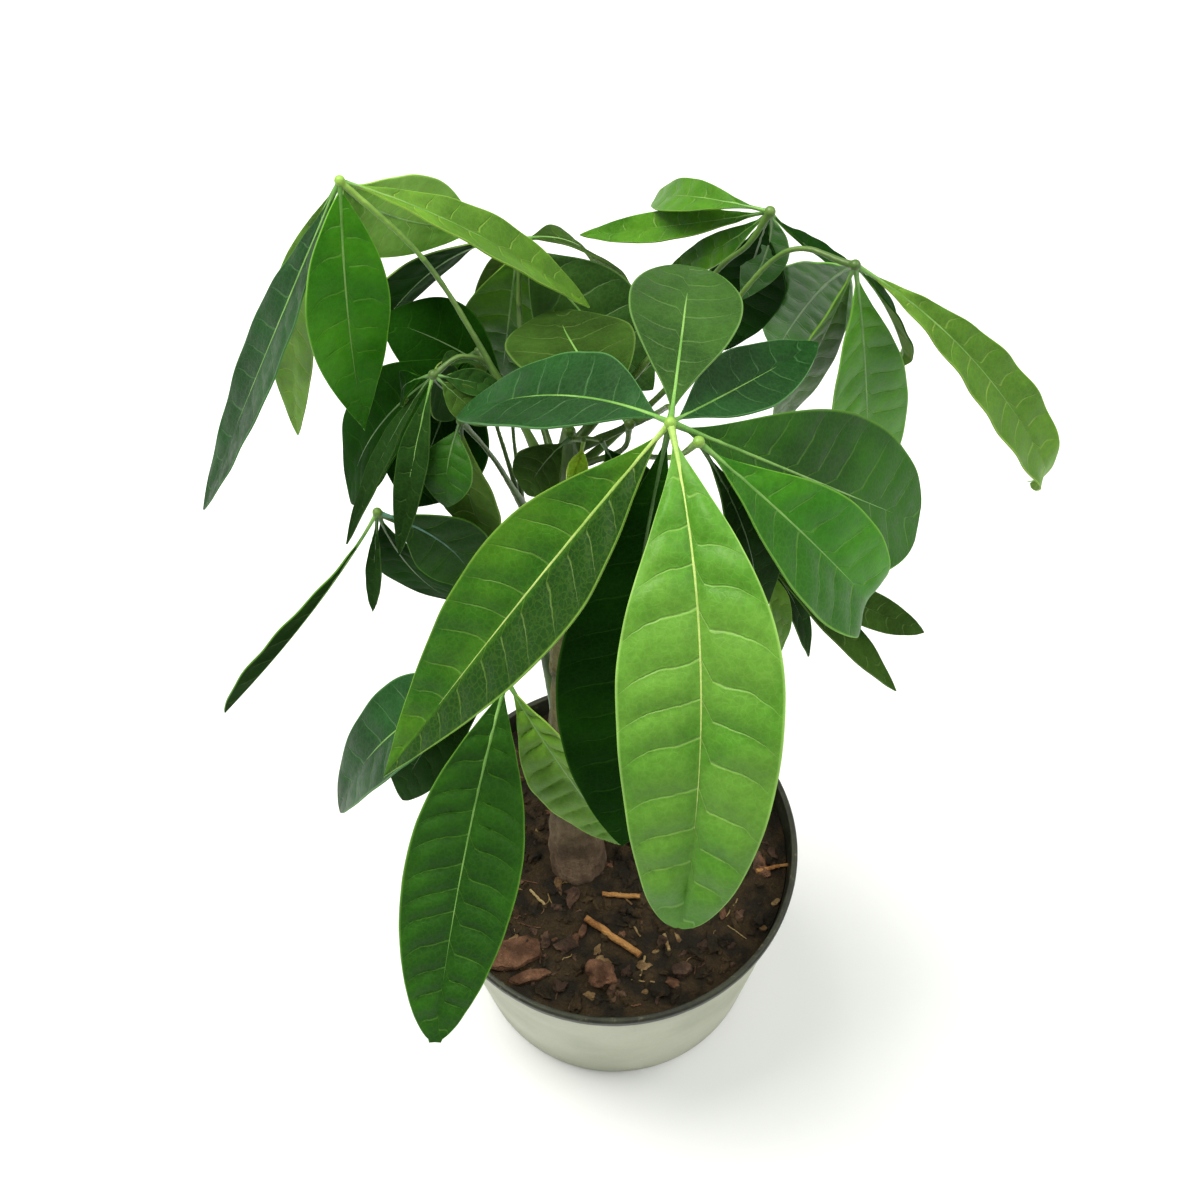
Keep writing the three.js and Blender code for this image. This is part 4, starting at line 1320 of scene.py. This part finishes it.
def chip(name, node, at, turn_degrees, size, material, seed, rough=0.18):
    """A torn flat chip, from a cube that is divided, thinned and pushed about."""
    bpy.ops.mesh.primitive_cube_add(size=2)
    piece = bpy.context.object
    piece.name = name
    edit_select(piece, lambda face: True)
    bpy.ops.mesh.subdivide(number_cuts=5)
    bpy.ops.mesh.select_all(action="DESELECT")
    leave_edit()
    shaped = []
    for x, y, z in points_of(piece):
        corner = 1 - 0.28 * (x * y) ** 2
        push = noise.noise(Vector((x * 1.4, y * 1.4, z * 0.5)) + Vector((seed, 0, 0)))
        layer = 0.06 * math.sin(9 * z + 3 * noise.noise(Vector((x, y, seed))))
        wide = corner * (1 + 1.6 * rough * push + layer)
        lift = 0.5 * noise.noise(Vector((x * 1.1, y * 1.1, seed)))
        shaped.append((x * wide, y * wide, z + lift))
    move_points(piece, shaped)
    modify(piece, "BEVEL", width=0.05, segments=2, limit_method="ANGLE", angle_limit=math.radians(40))
    length, width, height = size
    z = soil_height(*at) + height / 2 + RESTING_GAP
    scale = Matrix.Diagonal((length / 2, width / 2, height / 2, 1))
    place = Matrix.Translation((*at, z)) @ Matrix.Rotation(math.radians(turn_degrees), 4, "Z")
    piece.data.transform(Matrix.Scale(MM, 4) @ place @ scale)
    piece.data.materials.append(material)
    smooth(piece, 35)
    hand_over(piece, "bark", *([node] if node else []))
    return piece


chip("chip_wide", "bark_chip_wide", (-33, -34.6), 12, (17, 9, 2.4), BARK_RED, 1.0)
chip("chip_narrow", "bark_chip_narrow", (-27.6, -41.8), 15, (12, 3.6, 1.8), BARK_RED, 2.0)

knot = lump("bark_knot", 4, 0.55, 21.0)
KNOT_AT = (-5, -42.6)
KNOT_HALF_SIZE = (4.7, 4.1, 3.3)
KNOT_LIFT = 2.6                       # its middle's height over the soil
knot_place = Matrix.Translation((*KNOT_AT, soil_height(*KNOT_AT) + KNOT_LIFT))
knot.data.transform(Matrix.Scale(MM, 4) @ knot_place @ Matrix.Diagonal((*KNOT_HALF_SIZE, 1)))
knot.data.materials.append(BARK_RED)
smooth(knot, 60)
hand_over(knot, "bark", "bark_lump")


# %% Twigs
def twig(name, node, start, end, radius, material, seed, bend=0.6):
    """A thin stick that lies on the soil from start to end, a little crooked."""
    t = np.linspace(0, 1, 14)[:, None]
    line = (1 - t) * np.array([*start, 0]) + t * np.array([*end, 0])
    top = max(soil_height(x, y) for x, y, _ in line)
    for i, spot in enumerate(line):
        spot[2] = top + radius + RESTING_GAP
        spot += bend * np.array(noise.noise_vector(Vector((0.45 * i, seed, 0)))) * (1, 1, 0.4)
    radii = [radius * (1 + 0.18 * noise.noise(Vector((1.1 * i, 0, seed)))) for i in range(len(line))]
    piece = tube(name, line * MM, np.array(radii) * MM, bevel=2)
    piece.name = name
    piece.data.materials.append(material)
    smooth(piece, 50)
    hand_over(piece, "twig", *([node] if node else []))
    return piece


twig("stick_long", "twig_long", (-9.7, -23.5), (7.5, -36.4), 1.15, TWIG_TAN, 1.0)
twig("stick_short", "twig_short", (-3.7, -15.1), (8.2, -16.5), 0.85, TWIG_TAN, 2.0)
twig("stick_right", None, (46.5, -8), (54, -6.6), 0.7, TWIG_TAN, 3.0, bend=0.3)
twig("sliver_front", None, (9.1, -36), (7.3, -42.6), 0.4, FIBRE, 4.0, bend=0.2)
twig("sliver_left", None, (-27.4, -13), (-22.5, -18.3), 0.45, FIBRE, 5.0, bend=0.2)
twig("sliver_middle", None, (15.5, -29), (16.8, -34.6), 0.55, FIBRE, 6.0, bend=0.3)
twig("stick_branch", None, (47.7, -7.4), (57.0, -6.0), 0.55, TWIG_TAN, 7.0, bend=0.2)
chip("chip_pale_a", None, (52.0, -19), 40, (3.4, 1.6, 1.1), BARK_TAN, 3.0)
chip("chip_pale_b", None, (47.2, -27.4), -20, (2.6, 1.8, 1.0), BARK_TAN, 4.0)
chip("chip_pink", None, (-10.5, -27.5), 70, (4.2, 2.2, 1.4), BARK_RED, 5.0)
chip("chip_taupe", None, (20.5, -41), 15, (6.4, 4.2, 2.6), BARK_DARK, 6.0)
print("chips and twigs are laid")

# %% Fibres
fibres = []
for index in range(70):
    angle, far = dice.uniform(0, 2 * math.pi), 53 * math.sqrt(dice.random())
    x, y = far * math.cos(angle), far * math.sin(angle)
    heading, length = dice.uniform(0, FULL_TURN), dice.uniform(2.5, 8)
    end = (x + length * math.cos(heading), y + length * math.sin(heading))
    if math.hypot(*end) > 54 or from_trunk(x, y) < 11:
        continue
    line = []
    for t in np.linspace(0, 1, 6):
        px, py = (1 - t) * x + t * end[0], (1 - t) * y + t * end[1]
        jog = 0.7 * noise.noise(Vector((3 * t, index * 1.3, 0)))
        line.append((px + jog, py - jog, soil_height(px, py) + 0.45))
    width = dice.uniform(0.12, 0.3)
    fibres.append(tube("fibre", np.array(line) * MM, [width * MM] * 6, bevel=0))
    fibres[-1].data.materials.append(dice.choice([FIBRE, BARK_TAN, BARK_RED]))
pick(*fibres)
bpy.ops.object.join()
fibre_piece = bpy.context.object
fibre_piece.name = "soil_fibres"
smooth(fibre_piece, 60)
hand_over(fibre_piece, "soil")
print("fibres:", len(fibres))
